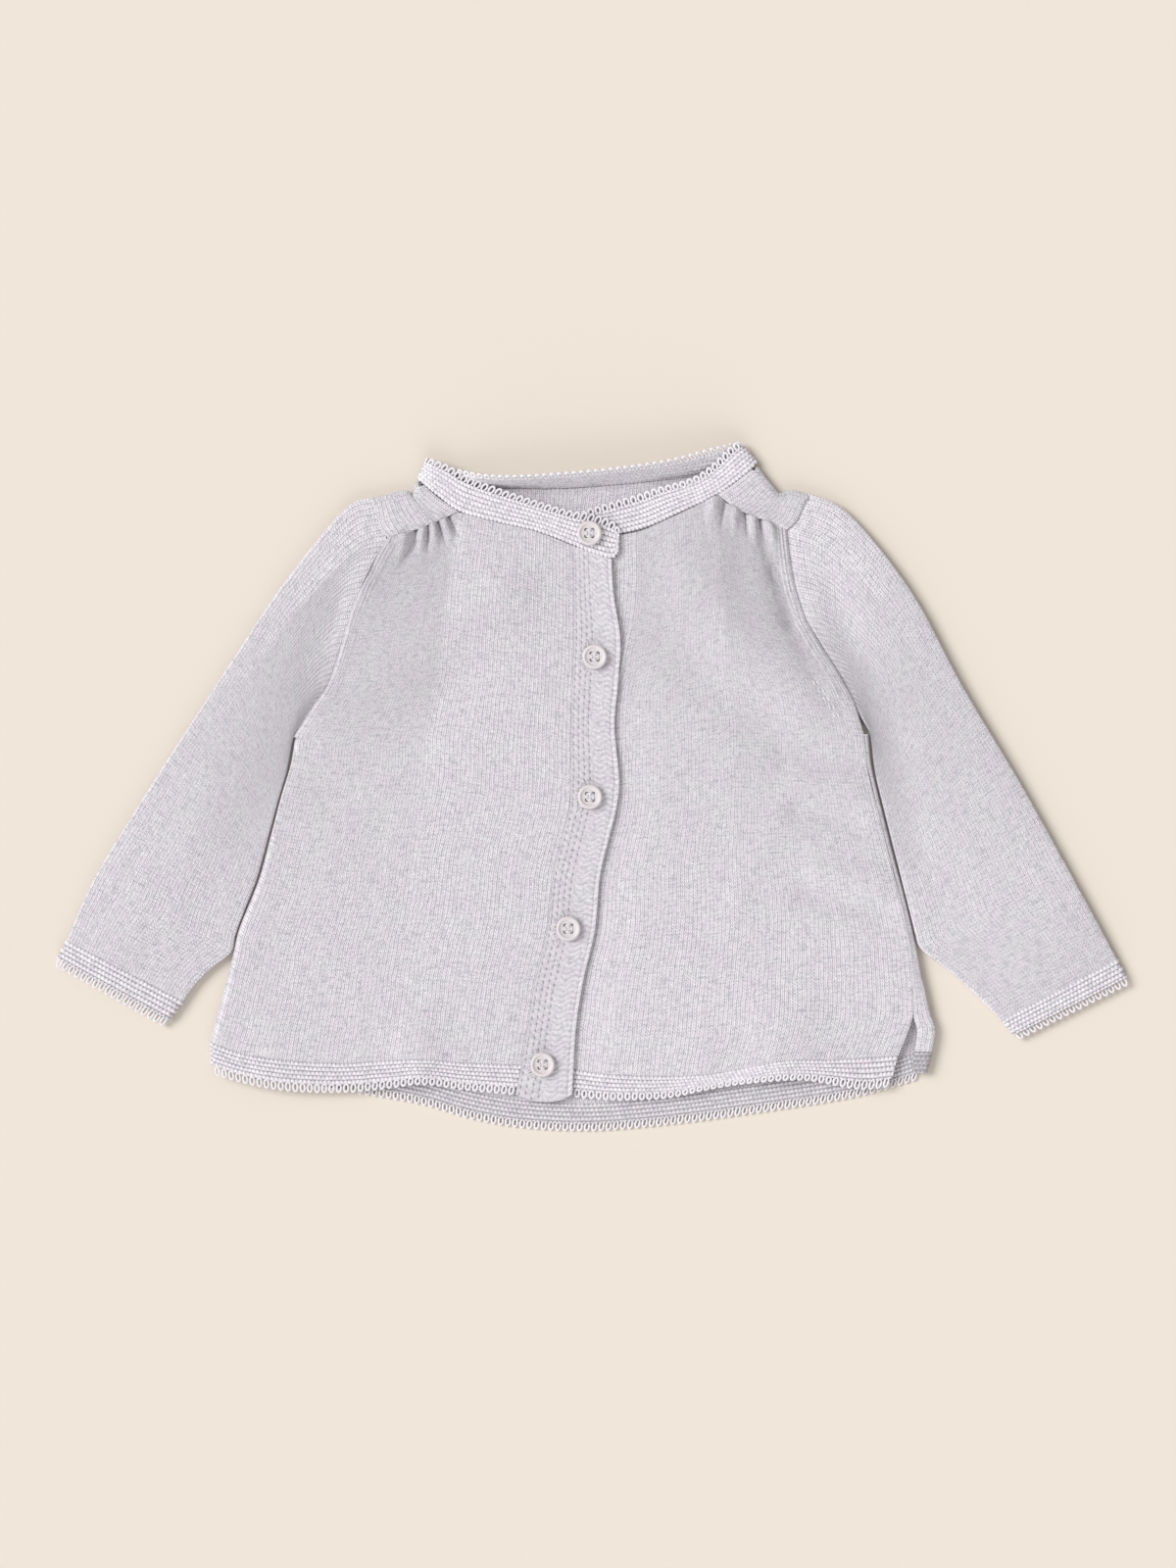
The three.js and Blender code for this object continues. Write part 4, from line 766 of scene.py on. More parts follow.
def build_front_hem(side, node):
    table = HEM[side]
    first = straight(table["top"][0], table["bottom"][0])
    if side == "left":
        last = part_of(over["left"], HEM_SHARE["over"], 1)
    else:
        last = straight(table["top"][-1], table["bottom"][-1])
    top = smooth_line(table["top"])
    band = patch(top, smooth_line(table["bottom"]), first, last)
    height = table["top"][0][1] - table["bottom"][0][1]
    row = trimmed_start(band_rows()[:, None], height)
    s = shares(int(top.length / BAND_STEP))[None, :]
    edge = band(0.0, row[:, 0])
    if side == "left":
        across = across_from_fold(edge, s, top.length)
    else:
        across = trimmed(s, top.length)
    plan = band(across, row)
    points = with_height(plan, front_height(side, plan[..., 0], plan[..., 1]))
    uv = uv_grid(across * top.length, row * height)
    if side == "left":
        wrap = wrap_under(edge)
        points, uv = with_wrap(wrap, np.arange(wrap.shape[1], 0, -1.0), points, uv)
    height, relief = garter(uv[..., 0], uv[..., 1])
    points = above_table(raised(points, height))
    obj = add_cloth(node, points, uv, BAND_KNIT, relief=relief * HEM_RELIEF)
    lines = [band_line(band, side, at) for at in FRONT_LOOPS]
    edging = add_picot(f"{node}_picot", *lines, bpy.context.scene.cardigan_picot.pitch, 0.15)
    return obj, edging


def band_line(band, side, v):
    """A front hem's own line at this share of its height, over its folds."""
    s = shares(240)[4:-1]
    plan = band(s, np.full(s.shape, v))
    return smooth_line(with_height(plan, front_height(side, plan[:, 0], plan[:, 1])), steps=2)


# How the placket is knitted, across it from its inner edge: each pair is where a change starts and ends
PLACKET_WIDTH = 22.0
PLACKET_KNIT = 20.5
PLACKET_GRID = {"over": (96, 330), "under": (40, 200)}
RIBS_START = (0.4, 1.2)
RIBS_STOP = (9.4, 10.2)
PLAIN_START = (9.6, 11.0)
GROOVE_WIDTH = 0.42
COURSE_PITCH = 2.6
CHAIN_PITCH = 2.1


def build_placket(kind, node):
    neck = over if kind == "over" else under
    left = neck["left"]
    right = neck["right"]
    foot = straight(left(1.0), right(1.0))
    if kind == "over":
        foot = smooth_line([left(1.0), *PLACKET_FOOT, right(1.0)])
    plan = patch(straight(left(0.0), right(0.0)), foot, left, right)
    columns, rows = PLACKET_GRID[kind]
    s = shares(columns)[None, :]
    v = shares(rows)[:, None]
    place = plan(trimmed(s, PLACKET_WIDTH), v)
    z = front_height("left", place[..., 0], place[..., 1]) if kind == "over" else UNDER_Z
    uv = uv_grid(s * PLACKET_KNIT, v * left.length)
    height, relief = placket_relief(kind, uv[..., 0], uv[..., 1])
    material = BAND_KNIT if kind == "over" else PALE_KNIT
    return add_cloth(node, with_height(place, z + height), uv, material, relief=relief)


def placket_relief(kind, u, v):
    """Ribs with open stitches along one half, plain knitting on the other and a chained edge."""
    ribs = bpy.context.scene.cardigan_placket
    edge = PLACKET_KNIT - u
    if kind == "under":
        return 0.3 * hump(edge - 1.2, 0.7), np.ones(np.shape(u))
    pitch = ribs.rib_pitch / MM
    inside = smoothstep(u, *RIBS_START) * (1 - smoothstep(u, *RIBS_STOP))
    line = np.floor(u / pitch)
    groove = hump(u % pitch - pitch / 2, GROOVE_WIDTH)
    stitch = 0.5 + 0.5 * np.cos(2 * np.pi * (v / (ribs.rib_stitch / MM) + 0.5 * line))
    holes = inside * groove * stitch**3
    course = np.cos(2 * np.pi * v / COURSE_PITCH + 2.2 * np.sin(u * 0.9))
    plain = smoothstep(u, *PLAIN_START)
    chain = hump(edge - 0.7, 0.6) * (0.6 + 0.4 * np.cos(2 * np.pi * v / CHAIN_PITCH))
    beside = hump(edge - 2.0, 0.45)
    # relief carries painted shade: darker in the open stitches, the courses' hollows and the groove beside
    # the chained edge, paler on the chain
    relief = 0.55 - holes * 0.7 + 0.1 * course * plain + 0.12 * chain - 0.15 * beside
    rise = -ribs.rib_depth / MM * holes + 0.08 * course * plain + 0.25 * chain - 0.12 * beside
    return rise, relief


# The back, with its forward strip at the right and its two yokes

BACK_COLUMNS = 112
SHOULDER_COLUMNS = 28
BACK_ROWS = {"lower": 84, "upper": 64}
YOKE_WIDTH = {"left": 26.0, "right": 30.0}
YOKE_DEPTH = 20.0
YOKE_ROWS = 22
STRIP_COLUMNS = 6
STRIP_COLUMN_WIDTH = 0.9
YOKE_ROW_HEIGHT = 0.95
BACK_WIDTH = 300.0
BACK_LENGTH = 270.0
YOKE_LIFT = 0.35
BACK_HEM_STEP = 0.55
BACK_HEM_COLUMNS = 300


def back_lines():
    """The flat of the back in plan, and how far it stays inside the folds at shoulder and side."""
    inset = float(half_turn(FRONT_Z, half_cloth(), tuck=0)[0][0])
    flat_inset = float(half_turn(FRONT_Z, half_cloth())[0][0])

    def lowered(points):
        (x, y), *others = points
        return [(x, y - inset), *others]

    def flat_left(share):
        edge = side_line["left"](1 - np.asarray(share, float))
        edge[..., 0] += under_reach(edge[..., 1]) + 0.4
        return edge

    def flat_right(share):
        edge = right_fold(1 - np.asarray(share, float))
        edge[..., 0] -= flat_inset
        return edge

    flat_left.length = flat_right.length = side_line["left"].length
    armhole = {side: smooth_line(lowered(ARMHOLE[side]["back"])) for side in SIDE}
    neck = smooth_line(NECK_SEAM["back"])
    share = SHOULDER_COLUMNS / BACK_COLUMNS

    def top(s):
        s = np.asarray(s, float)
        left = shoulder_line["left"](s / share) - (0, inset, 0)
        right = shoulder_line["right"]((s - 1 + share) / share) - (0, inset, 0)
        middle = neck((s - share) / (1 - 2 * share))
        s = s[..., None]
        return np.where(s <= share, left, np.where(s >= 1 - share, right, middle))

    hem = smooth_line([tuple(flat_left(0.0)), *HEM["back"]["top"][1:-1], tuple(flat_right(0.0))])
    left = joined(flat_left, reverse(armhole["left"]), BACK_UNDERARM)
    right = joined(flat_right, reverse(armhole["right"]), BACK_UNDERARM)
    return patch(hem, top, left, right), inset, flat_inset


YOKE_PATCH = {
    "left": patch(
        shoulder_line["left"], yoke_seam["left"], armhole_yoke["left"],
        reverse(smooth_line(NECK_SEAM["left_yoke"])),
    ),
    "right": patch(
        shoulder_line["right"], yoke_seam["right"], reverse(smooth_line(NECK_SEAM["right_yoke"])),
        armhole_yoke["right"],
    ),
}


def strip_points(edge, fold):
    """From the flat of the back round the fold to the strip's own edge."""
    inset, z = half_turn(np.full(len(edge), FRONT_Z), half_cloth())
    top = fold[:, 0] - half_turn(np.full(len(edge), FRONT_Z), half_cloth(), tuck=0)[0][:, 0]
    x = fold[:, :1] - inset[:, 1:-1]
    last = np.minimum(edge[:, 0] + EDGE_TRIM, top - EDGE_TRIM)
    flat = top[:, None] + (last - top)[:, None] * shares(STRIP_COLUMNS)[None, :]
    x = np.concatenate([x, flat], axis=1)
    z = np.concatenate([z[:, 1:-1], np.full(flat.shape, FRONT_Z)], axis=1)
    z[:, -1] -= 0.4
    y = np.broadcast_to(fold[:, 1:2], x.shape)
    return np.stack([x, y, z], axis=-1)


def build_back():
    surface, inset, _ = back_lines()
    lower = shares(BACK_ROWS["lower"]) * BACK_UNDERARM
    upper = BACK_UNDERARM + (1 - BACK_UNDERARM) * shares(BACK_ROWS["upper"])[1:]
    v = np.concatenate([lower, upper])[:, None]
    s = shares(BACK_COLUMNS)[None, :]
    trim = np.where(v > BACK_UNDERARM, EDGE_TRIM / FRONT_WIDTH / 2, 0)
    row = trimmed_start(v, BACK_LENGTH)
    plan = surface(trim + s * (1 - 2 * trim), row)
    flat = with_height(plan, BACK_Z)
    share = 1 - np.minimum(row[:, 0] / BACK_UNDERARM, 1)
    strip = strip_points(strip_edge(share), right_fold(share))
    grid = [np.concatenate([flat, strip], axis=1)]
    lanes = {
        "left": slice(0, SHOULDER_COLUMNS + 1),
        "right": slice(BACK_COLUMNS - SHOULDER_COLUMNS, BACK_COLUMNS + 1),
    }
    turn, z = half_turn(FRONT_Z, half_cloth(), tuck=0)
    last = grid[0][-1]
    for step, height in zip(turn[1:], z[1:]):
        line = last.copy()
        for lane in lanes.values():
            line[lane, 1] += inset - step
            line[lane, 2] = height
        grid.append(line[None])
    for depth in shares(YOKE_ROWS)[1:]:
        line = last.copy()
        for side, lane in lanes.items():
            part = trimmed(shares(SHOULDER_COLUMNS), YOKE_WIDTH[side])
            start = inset / YOKE_DEPTH
            down = start + depth * (1 - EDGE_TRIM / YOKE_DEPTH - start)
            place = YOKE_PATCH[side](part, np.full(part.shape, down))
            away = np.minimum(part, 1 - part) * YOKE_WIDTH[side]
            dip = seam_dip(away, YOKE_SIDE_DIP) + seam_dip((1 - depth) * YOKE_DEPTH, YOKE_SEAM_DIP)
            line[lane] = with_height(place, FRONT_Z + YOKE_LIFT + dip)
        grid.append(line[None])
    points = np.concatenate(grid, axis=0)
    rows, columns = points.shape[:2]
    keep = np.zeros((rows - 1, columns - 1), bool)
    flat_rows = len(v) - 1
    keep[:flat_rows, :BACK_COLUMNS] = True
    keep[: BACK_ROWS["lower"], BACK_COLUMNS:] = True
    keep[flat_rows:, :SHOULDER_COLUMNS] = True
    keep[flat_rows:, BACK_COLUMNS - SHOULDER_COLUMNS : BACK_COLUMNS] = True
    yoke_along = BACK_LENGTH + np.arange(1, rows - flat_rows) * YOKE_ROW_HEIGHT
    along = np.concatenate([v[:, 0] * BACK_LENGTH, yoke_along])
    strip_across = BACK_WIDTH + np.arange(1, columns - BACK_COLUMNS) * STRIP_COLUMN_WIDTH
    across = np.concatenate([s[0] * BACK_WIDTH, strip_across])
    uv = np.stack(np.meshgrid(across, along), axis=-1)
    for side, lane in lanes.items():
        uv[len(v) :, lane, 0] = across[lane][0] + shares(SHOULDER_COLUMNS) * YOKE_WIDTH[side]
    return add_cloth("back", points, uv, keep=keep)


def build_back_hem():
    surface, _, flat_inset = back_lines()
    foot_fold = HEM["back"]["bottom"][-1]
    foot = smooth_line([*HEM["back"]["bottom"][:-1], (foot_fold[0] - flat_inset, foot_fold[1])])
    top = lambda s: surface(s, np.zeros(np.shape(s)))
    sides = [straight(tuple(top(np.array(end))), tuple(foot(end))) for end in (0.0, 1.0)]
    band = patch(top, foot, *sides)
    s = shares(int(foot.length / BACK_HEM_STEP))
    row = trimmed_start(band_rows(), BACK_HEM_HEIGHT)
    flat = with_height(band(s[None, :], row[:, None]), BACK_Z)
    fold_top = right_fold(1.0)
    fold = fold_top + (np.array((*foot_fold, 0.0)) - fold_top) * row[:, None]
    edge = np.stack([strip_edge(1.0)[0] - STRIP_DRIFT * row, fold[:, 1], 0 * row], axis=-1)
    strip = strip_points(edge, fold)
    points = np.concatenate([flat, strip], axis=1)
    strip_across = foot.length + np.arange(1, strip.shape[1] + 1) * STRIP_COLUMN_WIDTH
    across = np.concatenate([s * foot.length, strip_across])
    uv = np.stack(np.meshgrid(across, row * BACK_HEM_HEIGHT), axis=-1)
    height, relief = garter(uv[..., 0], uv[..., 1])
    normal = grid_normals(points)
    points = above_table(points + normal * np.sign(normal[:1, :1, 2:]) * height[..., None])
    obj = add_cloth("hem_back", points, uv, BAND_KNIT, relief=relief * BACK_HEM_RELIEF)
    along = shares(BACK_HEM_COLUMNS)
    plans = [band(along, np.full(along.shape, at)) for at in BACK_LOOPS]
    lines = [smooth_line(with_height(plan, BACK_Z), steps=2) for plan in plans]
    loops = add_picot("hem_back_picot", *lines, bpy.context.scene.cardigan_picot.pitch, 0.1)
    return obj, loops


# Sleeves and cuffs

YOKE_SHARE_ON_SLEEVE = 0.1727
SLEEVE_LENGTH = 215.0
RING_STEPS = 64
SLEEVE_ROWS = 120
SLEEVE_START = 0.0007  # shares of a sleeve's length that are left free at its seams
SLEEVE_GAPS = 0.001
CUFF_HEIGHT = 12.0
CUFF_START = 0.012
CUFF_UPPER_SIDE = slice(20, 100)
CUFF_LOOP_DROP = 0.9


def body_edge(side, y):
    if side == "left":
        return table_at(row_table(SIDE["left"]), y, "x") - SLEEVE_CLEAR
    return table_at(row_table(STRIP_EDGE), y, "x") + table_at(STRIP_WIDTH, y, "width") + SLEEVE_CLEAR


def sleeve_lines(side):
    table = SLEEVE[side]
    underarm = SIDE[side][0][1] + 0.6
    hidden = [(float(body_edge(side, y)), y) for y in (underarm, *ARM_STOPS)]
    inner = smooth_line([*hidden, *table["inner"]])
    outer = smooth_line(table["outer"])
    return inner, outer, straight(tuple(outer(1.0)), tuple(inner(1.0)))


def sleeve_patches(side):
    inner, outer, cuff_top = sleeve_lines(side)
    underarm = tuple(inner(0.0))[:2]
    upper = joined(
        armhole_yoke[side], smooth_line([*ARMHOLE[side]["front"][:-1], underarm]), YOKE_SHARE_ON_SLEEVE
    )
    lower = smooth_line([*ARMHOLE[side]["back"][:-1], underarm])
    fanned = lambda v: inner(np.asarray(v, float) ** 2)
    reach = lambda v: 1 - (1 - v) ** 4
    return [patch(layer, cuff_top, outer, fanned, reach) for layer in (upper, lower)]


def ring_shares():
    return 0.5 - 0.5 * np.cos(np.pi * shares(RING_STEPS))


def tube_points(side, *layers):
    """Rows of rings: over the upper layer from the outer to the inner fold and back under it."""
    rings = []
    for plan, share, sign in layers:
        top = sleeve_height(side, plan[..., 0], plan[..., 1])
        section = (1 - np.abs(2 * share - 1) ** SLEEVE_FLATNESS) ** (1 / SLEEVE_FLATNESS)
        rings.append(with_height(plan, (BACK_Z + top) / 2 + sign * section * (top - BACK_Z) / 2))
    return np.concatenate([rings[0], rings[1][:, 1:]], axis=1)


def ring_uv(points, v_mm):
    around = np.linalg.norm(np.diff(points, axis=1), axis=-1)
    mean = np.concatenate([[0], np.cumsum(around.mean(axis=0))])
    return uv_grid(mean, v_mm)


def build_sleeve(side, node):
    upper, lower = sleeve_patches(side)
    s = ring_shares()[None, :]
    back_way = s[:, ::-1]
    row = SLEEVE_START + shares(SLEEVE_ROWS)[:, None] * (1 - SLEEVE_GAPS)
    points = tube_points(side, (upper(s, row), s, 1), (lower(back_way, row), back_way, -1))
    dip = seam_dip(row * SLEEVE_LENGTH, ARMHOLE_DIP, 1.6) + seam_dip((1 - row) * SLEEVE_LENGTH, CUFF_DIP)
    points[:, 1:RING_STEPS, 2] += dip
    return add_cloth(node, points, ring_uv(points, row * SLEEVE_LENGTH), closed=True)


def build_cuff(side, node):
    cuff_top = sleeve_lines(side)[2]
    foot = straight(SLEEVE[side]["cuff_outer"], SLEEVE[side]["cuff_inner"])
    between = lambda s, v: cuff_top(s) * (1 - v[..., None]) + foot(s) * v[..., None]
    s = shares(2 * RING_STEPS)[None, :]
    back_way = s[:, ::-1]
    row = CUFF_START + band_rows()[:, None] * (1 - CUFF_START)
    points = tube_points(side, (between(s, row), s, 1), (between(back_way, row), back_way, -1))
    uv = ring_uv(points, row * CUFF_HEIGHT)
    around = uv[0, -1, 0]
    bump = bpy.context.scene.cardigan_band.bump_pitch / MM
    height, relief = garter(uv[..., 0] * round(around / bump) * bump / around, uv[..., 1])
    normal = grid_normals(points)
    points = points + np.sign(normal[:, CUFF_UPPER_SIDE, 2].mean()) * normal * height[..., None]
    points[:, -1] = points[:, 0]
    obj = add_cloth(
        node, above_table(points), uv, BAND_KNIT, closed=True, relief=relief * HEM_RELIEF
    )
    t = shares(200)
    middle = sleeve_height(side, foot(t)[:, 0], foot(t)[:, 1]) - CUFF_LOOP_DROP
    plans = [between(t, np.full(t.shape, at)) for at in CUFF_LOOPS]
    lines = [smooth_line(with_height(plan, middle), steps=2) for plan in plans]
    loops = add_picot(f"{node}_picot", *lines, bpy.context.scene.cardigan_picot.pitch)
    return obj, loops


# Neckband

FINE = 4001
STATION_REACH = 800  # the next station is looked for this many fine steps ahead
NECK_HEIGHT = 14.5
NECK_ROWS = 38
NECK_OVER_SEAM = 0.45
STANDING_PAINTED_LIGHT = 0.4  # painted light: the hollows of the standing back of the band are painted paler, as if they caught more light
STANDING = (4.0, 9.0)  # heights of the free edge between which the band comes to stand


def station_shares(line, stations):
    """The share of a line's length at which it passes each station."""
    fine = np.linspace(0, 1, FINE)
    places = line(fine)
    found = []
    last = 0
    for station in stations:
        reach = slice(last, min(last + STATION_REACH, len(fine)))
        last += int(np.argmin(np.linalg.norm(places[reach] - station, axis=1)))
        found.append(fine[last])
    return np.array(found)


def build_neckband():
    seam = smooth_line(NECKBAND_SEAM)
    free = smooth_line(NECKBAND_FREE)
    stops = np.linspace(0, 1, len(NECKBAND_SEAM))
    even = np.linspace(0, 1, FINE)
    low_line = seam(np.interp(even, stops, station_shares(seam, NECKBAND_SEAM)))
    high_line = free(np.interp(even, stops, station_shares(free, NECKBAND_FREE)))
    length = lengths_along(low_line)
    at = np.linspace(0, length[-1], int(length[-1] / BAND_STEP) + 1)
    low = places_at(at, length, low_line)
    high = places_at(at, length, high_line)
    reach = high - low
    low = low - NECK_OVER_SEAM * reach / np.linalg.norm(reach, axis=1, keepdims=True)
    picot = bpy.context.scene.cardigan_picot
    cloth_share = 1 - picot.neck_height / MM / NECK_HEIGHT
    v = shares(NECK_ROWS)[:, None, None] * cloth_share
    points = low[None] * (1 - v) + high[None] * v
    uv = np.stack(np.meshgrid(at, v[:, 0, 0] * NECK_HEIGHT), axis=-1)
    height, relief = garter(uv[..., 0], uv[..., 1])
    points = above_table(points - grid_normals(points) * height[..., None])
    # Painted light: the painted shade in the hollows fades where the band stands up at the back
    relief = relief + (1 - relief) * smoothstep(high[:, 2], *STANDING) * STANDING_PAINTED_LIGHT
    obj = add_cloth("neckband", points, uv, BAND_KNIT, relief=relief)
    inner = smooth_line(low + (high - low) * (cloth_share - 0.02), steps=2)
    outer = smooth_line(high, steps=2)
    edging = add_picot("neckband_picot", inner, outer, picot.neck_pitch, open_share=NECK_LOOP_OPEN)
    return obj, edging


# Buttons, their thread, buttonholes and fashioning marks

HOLE_SPACING = 1.45
BUTTONHOLE_SHIFT = 4.0
BUTTONHOLES = ("button_2", "button_3", "button_4", "button_5")
# A button's section: shares of its radius and of its height
BUTTON_PROFILE = [
    (0.0, 0.0), (0.84, 0.0), (0.93, 0.06), (0.99, 0.22), (1.0, 0.45), (0.985, 0.72), (0.94, 0.9),
    (0.87, 0.98), (0.8, 0.96), (0.74, 0.86), (0.69, 0.73), (0.64, 0.67), (0.56, 0.65), (0.3, 0.63),
    (0.0, 0.63),
]
DISH = 0.65  # height of the dish inside a button's rim, as a share of the button's
THREAD_RADIUS = 0.21
THREAD_GAP = 0.22
THREAD_SUNK = 0.75
THREAD_ARCH = 1.05
THREAD_BENDS = [(0.0, 0.0), (0.28125, 0.75), (0.5, 1.0), (0.71875, 0.75), (1.0, 0.0)]
SHANK_RADIUS = 0.3
SHANK_POSTS = ((-0.5, 0), (0.5, 0), (0, -0.5), (0, 0.5))
SHANK_START = 1.6
SHANK_STEP = 0.45
# A buttonhole's stitches: number, yarn, length at the ends, spread, and heights on the way outwards
HOLE_STITCHES = 26
HOLE_STITCH_RADIUS = 0.2
HOLE_STITCH_LENGTH = 1.2
HOLE_WIDTH = 1.6
HOLE_STITCH_LIFTS = ((0.0, -0.3), (0.3, 0.34), (0.7, 0.38), (1.0, -0.15))
TILT_REACH = 6.0  # the slope of the placket's edge is read this far above and below a buttonhole
# One fashioning mark: two strands side by side, each bent up over the cloth
FASHION_MARKS = [(102.6, 47.5), (105.0, 43.8), (107.4, 40.2), (109.7, 36.6), (111.8, 32.8)]
MARK_STRANDS = (-1.1, 0.9)
MARK_BENDS = ((-0.5, 0.9, -0.2), (0.0, 0.0, 0.22), (0.4, -1.0, -0.2))
MARK_RADIUS = 0.33


def button_seat(name):
    """The underside's height, from the CAD button."""
    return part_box(name)[0][2] / MM


def build_button(name):
    setting = bpy.context.scene.cardigan_button
    radius = setting.radius / MM
    height = setting.height / MM
    hole = setting.hole / MM
    x, y = BUTTONS[name]
    seat = button_seat(name)
    bm = bmesh.new()
    line = [bm.verts.new((out * radius, 0, up * height)) for out, up in BUTTON_PROFILE]
    edges = [bm.edges.new(pair) for pair in zip(line, line[1:])]
    bmesh.ops.spin(
        bm, geom=[*line, *edges], cent=(0, 0, 0), axis=(0, 0, 1), angle=2 * math.pi, steps=72,
        use_merge=True,
    )
    bmesh.ops.remove_doubles(bm, verts=bm.verts, dist=1e-4)
    bmesh.ops.recalc_face_normals(bm, faces=bm.faces)
    for vert in bm.verts:
        vert.co = (np.array(vert.co) + (x, y, seat)) * MM + SHIFT
    obj = link(f"{name}_disc", bm, PLASTIC)
    cutter_bm = bmesh.new()
    for side_x, side_y in ((1, 1), (-1, 1), (-1, -1), (1, -1)):
        made = bmesh.ops.create_cone(
            cutter_bm, cap_ends=True, segments=20, radius1=hole, radius2=hole, depth=3 * height
        )["verts"]
        for vert in made:
            place = np.array(vert.co) + (x + side_x * HOLE_SPACING, y + side_y * HOLE_SPACING, seat)
            vert.co = place * MM + SHIFT
    cutter_mesh = bpy.data.meshes.new("holes")
    cutter_bm.to_mesh(cutter_mesh)
    cutter_bm.free()
    cutter = bpy.data.objects.new("holes", cutter_mesh)
    bpy.context.scene.collection.objects.link(cutter)
    cut = obj.modifiers.new("holes", "BOOLEAN")
    cut.operation = "DIFFERENCE"
    cut.object = cutter
    cut.solver = "EXACT"
    shown = obj.evaluated_get(bpy.context.evaluated_depsgraph_get())
    mesh = bpy.data.meshes.new_from_object(shown)
    obj.modifiers.clear()
    obj.data = mesh
    bpy.data.objects.remove(cutter)
    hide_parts(name)
    return obj


def build_button_thread(name):
    """Two stitches along each side of the square of holes, and the wrapped shank under the button."""
    setting = bpy.context.scene.cardigan_button
    x, y = BUTTONS[name]
    seat = button_seat(name)
    low = seat + DISH * setting.height / MM - THREAD_SUNK
    bm = bmesh.new()
    h = HOLE_SPACING
    legs = [((-h, -h), (-h, h)), ((h, -h), (h, h)), ((-h, h), (h, h)), ((-h, -h), (h, -h))]
    for (ax, ay), (bx, by) in legs[: setting.stitches]:
        for offset in (-THREAD_GAP, THREAD_GAP):
            side = np.array([by - ay, ax - bx]) / (2 * h) * offset
            path = []
            for share, rise in THREAD_BENDS:
                px = ax + (bx - ax) * share + side[0]
                py = ay + (by - ay) * share + side[1]
                path.append((x + px, y + py, low + rise * THREAD_ARCH))
            add_strand(bm, smooth_line(path)(shares(14)), THREAD_RADIUS)
    for dx, dy in SHANK_POSTS:
        post = [(x + dx, y + dy, seat - SHANK_START + SHANK_STEP * k) for k in range(5)]
        add_strand(bm, post, SHANK_RADIUS)
    return link(f"{name}_thread", bm, YARN)


def build_buttonhole(name):
    """A slit's whipped edge, which shows above and below its button."""
    x, y = BUTTONS[name]
    x -= BUTTONHOLE_SHIFT
    above, below = (table_at(PLACKET_OVER, y + away, "right") for away in (TILT_REACH, -TILT_REACH))
    half = bpy.context.scene.cardigan_button.buttonhole / MM / 2
    bm = bmesh.new()
    for k in range(HOLE_STITCHES):
        angle = 2 * math.pi * k / HOLE_STITCHES
        spoke = np.array([math.cos(angle), math.sin(angle)])
        inner = spoke * (0.5 * HOLE_WIDTH, half - HOLE_STITCH_LENGTH)
        outer = spoke * (1.6 * HOLE_WIDTH, half)
        path = []
        for share, lift in HOLE_STITCH_LIFTS:
            px, py = inner + (outer - inner) * share
            px += (above - below) * py / (2 * TILT_REACH)
            top = float(front_height("left", x + px, y + py)) + half_cloth()
            path.append((x + px, y + py, top + lift))
        add_strand(bm, path, HOLE_STITCH_RADIUS)
    return link(f"{name}_buttonhole", bm, YARN)


def build_marks():
    """Doubled stitches beside the right armhole, where its shaping was knitted."""
    bm = bmesh.new()
    for x, y in FASHION_MARKS:
        for dx in MARK_STRANDS:
            top = float(front_height("right", x + dx, y)) + half_cloth()
            path = [(x + dx + across, y + along, top + up) for across, along, up in MARK_BENDS]
            add_strand(bm, smooth_line(path)(shares(6)), MARK_RADIUS)
    return link("armhole_marks", bm, YARN)


# Materials: knitting drawn from each piece's own uv, in metres of cloth

class Graph:
    """Small helper that adds nodes and links to one material."""

    def __init__(self, material):
        material.use_nodes = True
        self.tree = material.node_tree
        self.tree.nodes.clear()

    def add(self, kind, inputs=(), **settings):
        node = self.tree.nodes.new(kind)
        for key, value in settings.items():
            setattr(node, key, value)
        for key, value in dict(inputs).items():
            if isinstance(value, bpy.types.NodeSocket):
                self.tree.links.new(value, node.inputs[key])
            else:
                node.inputs[key].default_value = value
        return node

    def math(self, operation, a, b=0.0):
        return self.add("ShaderNodeMath", {0: a, 1: b}, operation=operation).outputs[0]

    def plus(self, a, b):
        return self.math("ADD", a, b)

    def minus(self, a, b):
        return self.math("SUBTRACT", a, b)

    def times(self, a, b):
        return self.math("MULTIPLY", a, b)

    def noise(self, vector, scale, detail=2.0, roughness=0.5):
        inputs = {"Vector": vector, "Scale": scale, "Detail": detail, "Roughness": roughness}
        return self.add("ShaderNodeTexNoise", inputs).outputs["Fac"]

    def stretched(self, vector, across, along):
        """The vector divided by a size across and a size along, in metres."""
        inputs = {0: vector, 1: (1 / across, 1 / along, 1.0)}
        return self.add("ShaderNodeVectorMath", inputs, operation="MULTIPLY").outputs[0]

    def mix(self, share, a, b):
        return self.add("ShaderNodeMix", {0: share, 6: a, 7: b}, data_type="RGBA").outputs[2]

    def shaded(self, colour, share):
        inputs = {0: colour, 1: (share, share, share)}
        return self.add("ShaderNodeVectorMath", inputs, operation="MULTIPLY").outputs[0]

    def finish(self, inputs):
        shader = self.add("ShaderNodeBsdfPrincipled", inputs)
        self.add("ShaderNodeOutputMaterial", {"Surface": shader.outputs[0]})

    def range(self, value, low, high, to_low=0.0, to_high=1.0):
        inputs = {0: value, 1: low, 2: high, 3: to_low, 4: to_high}
        return self.add("ShaderNodeMapRange", inputs).outputs[0]


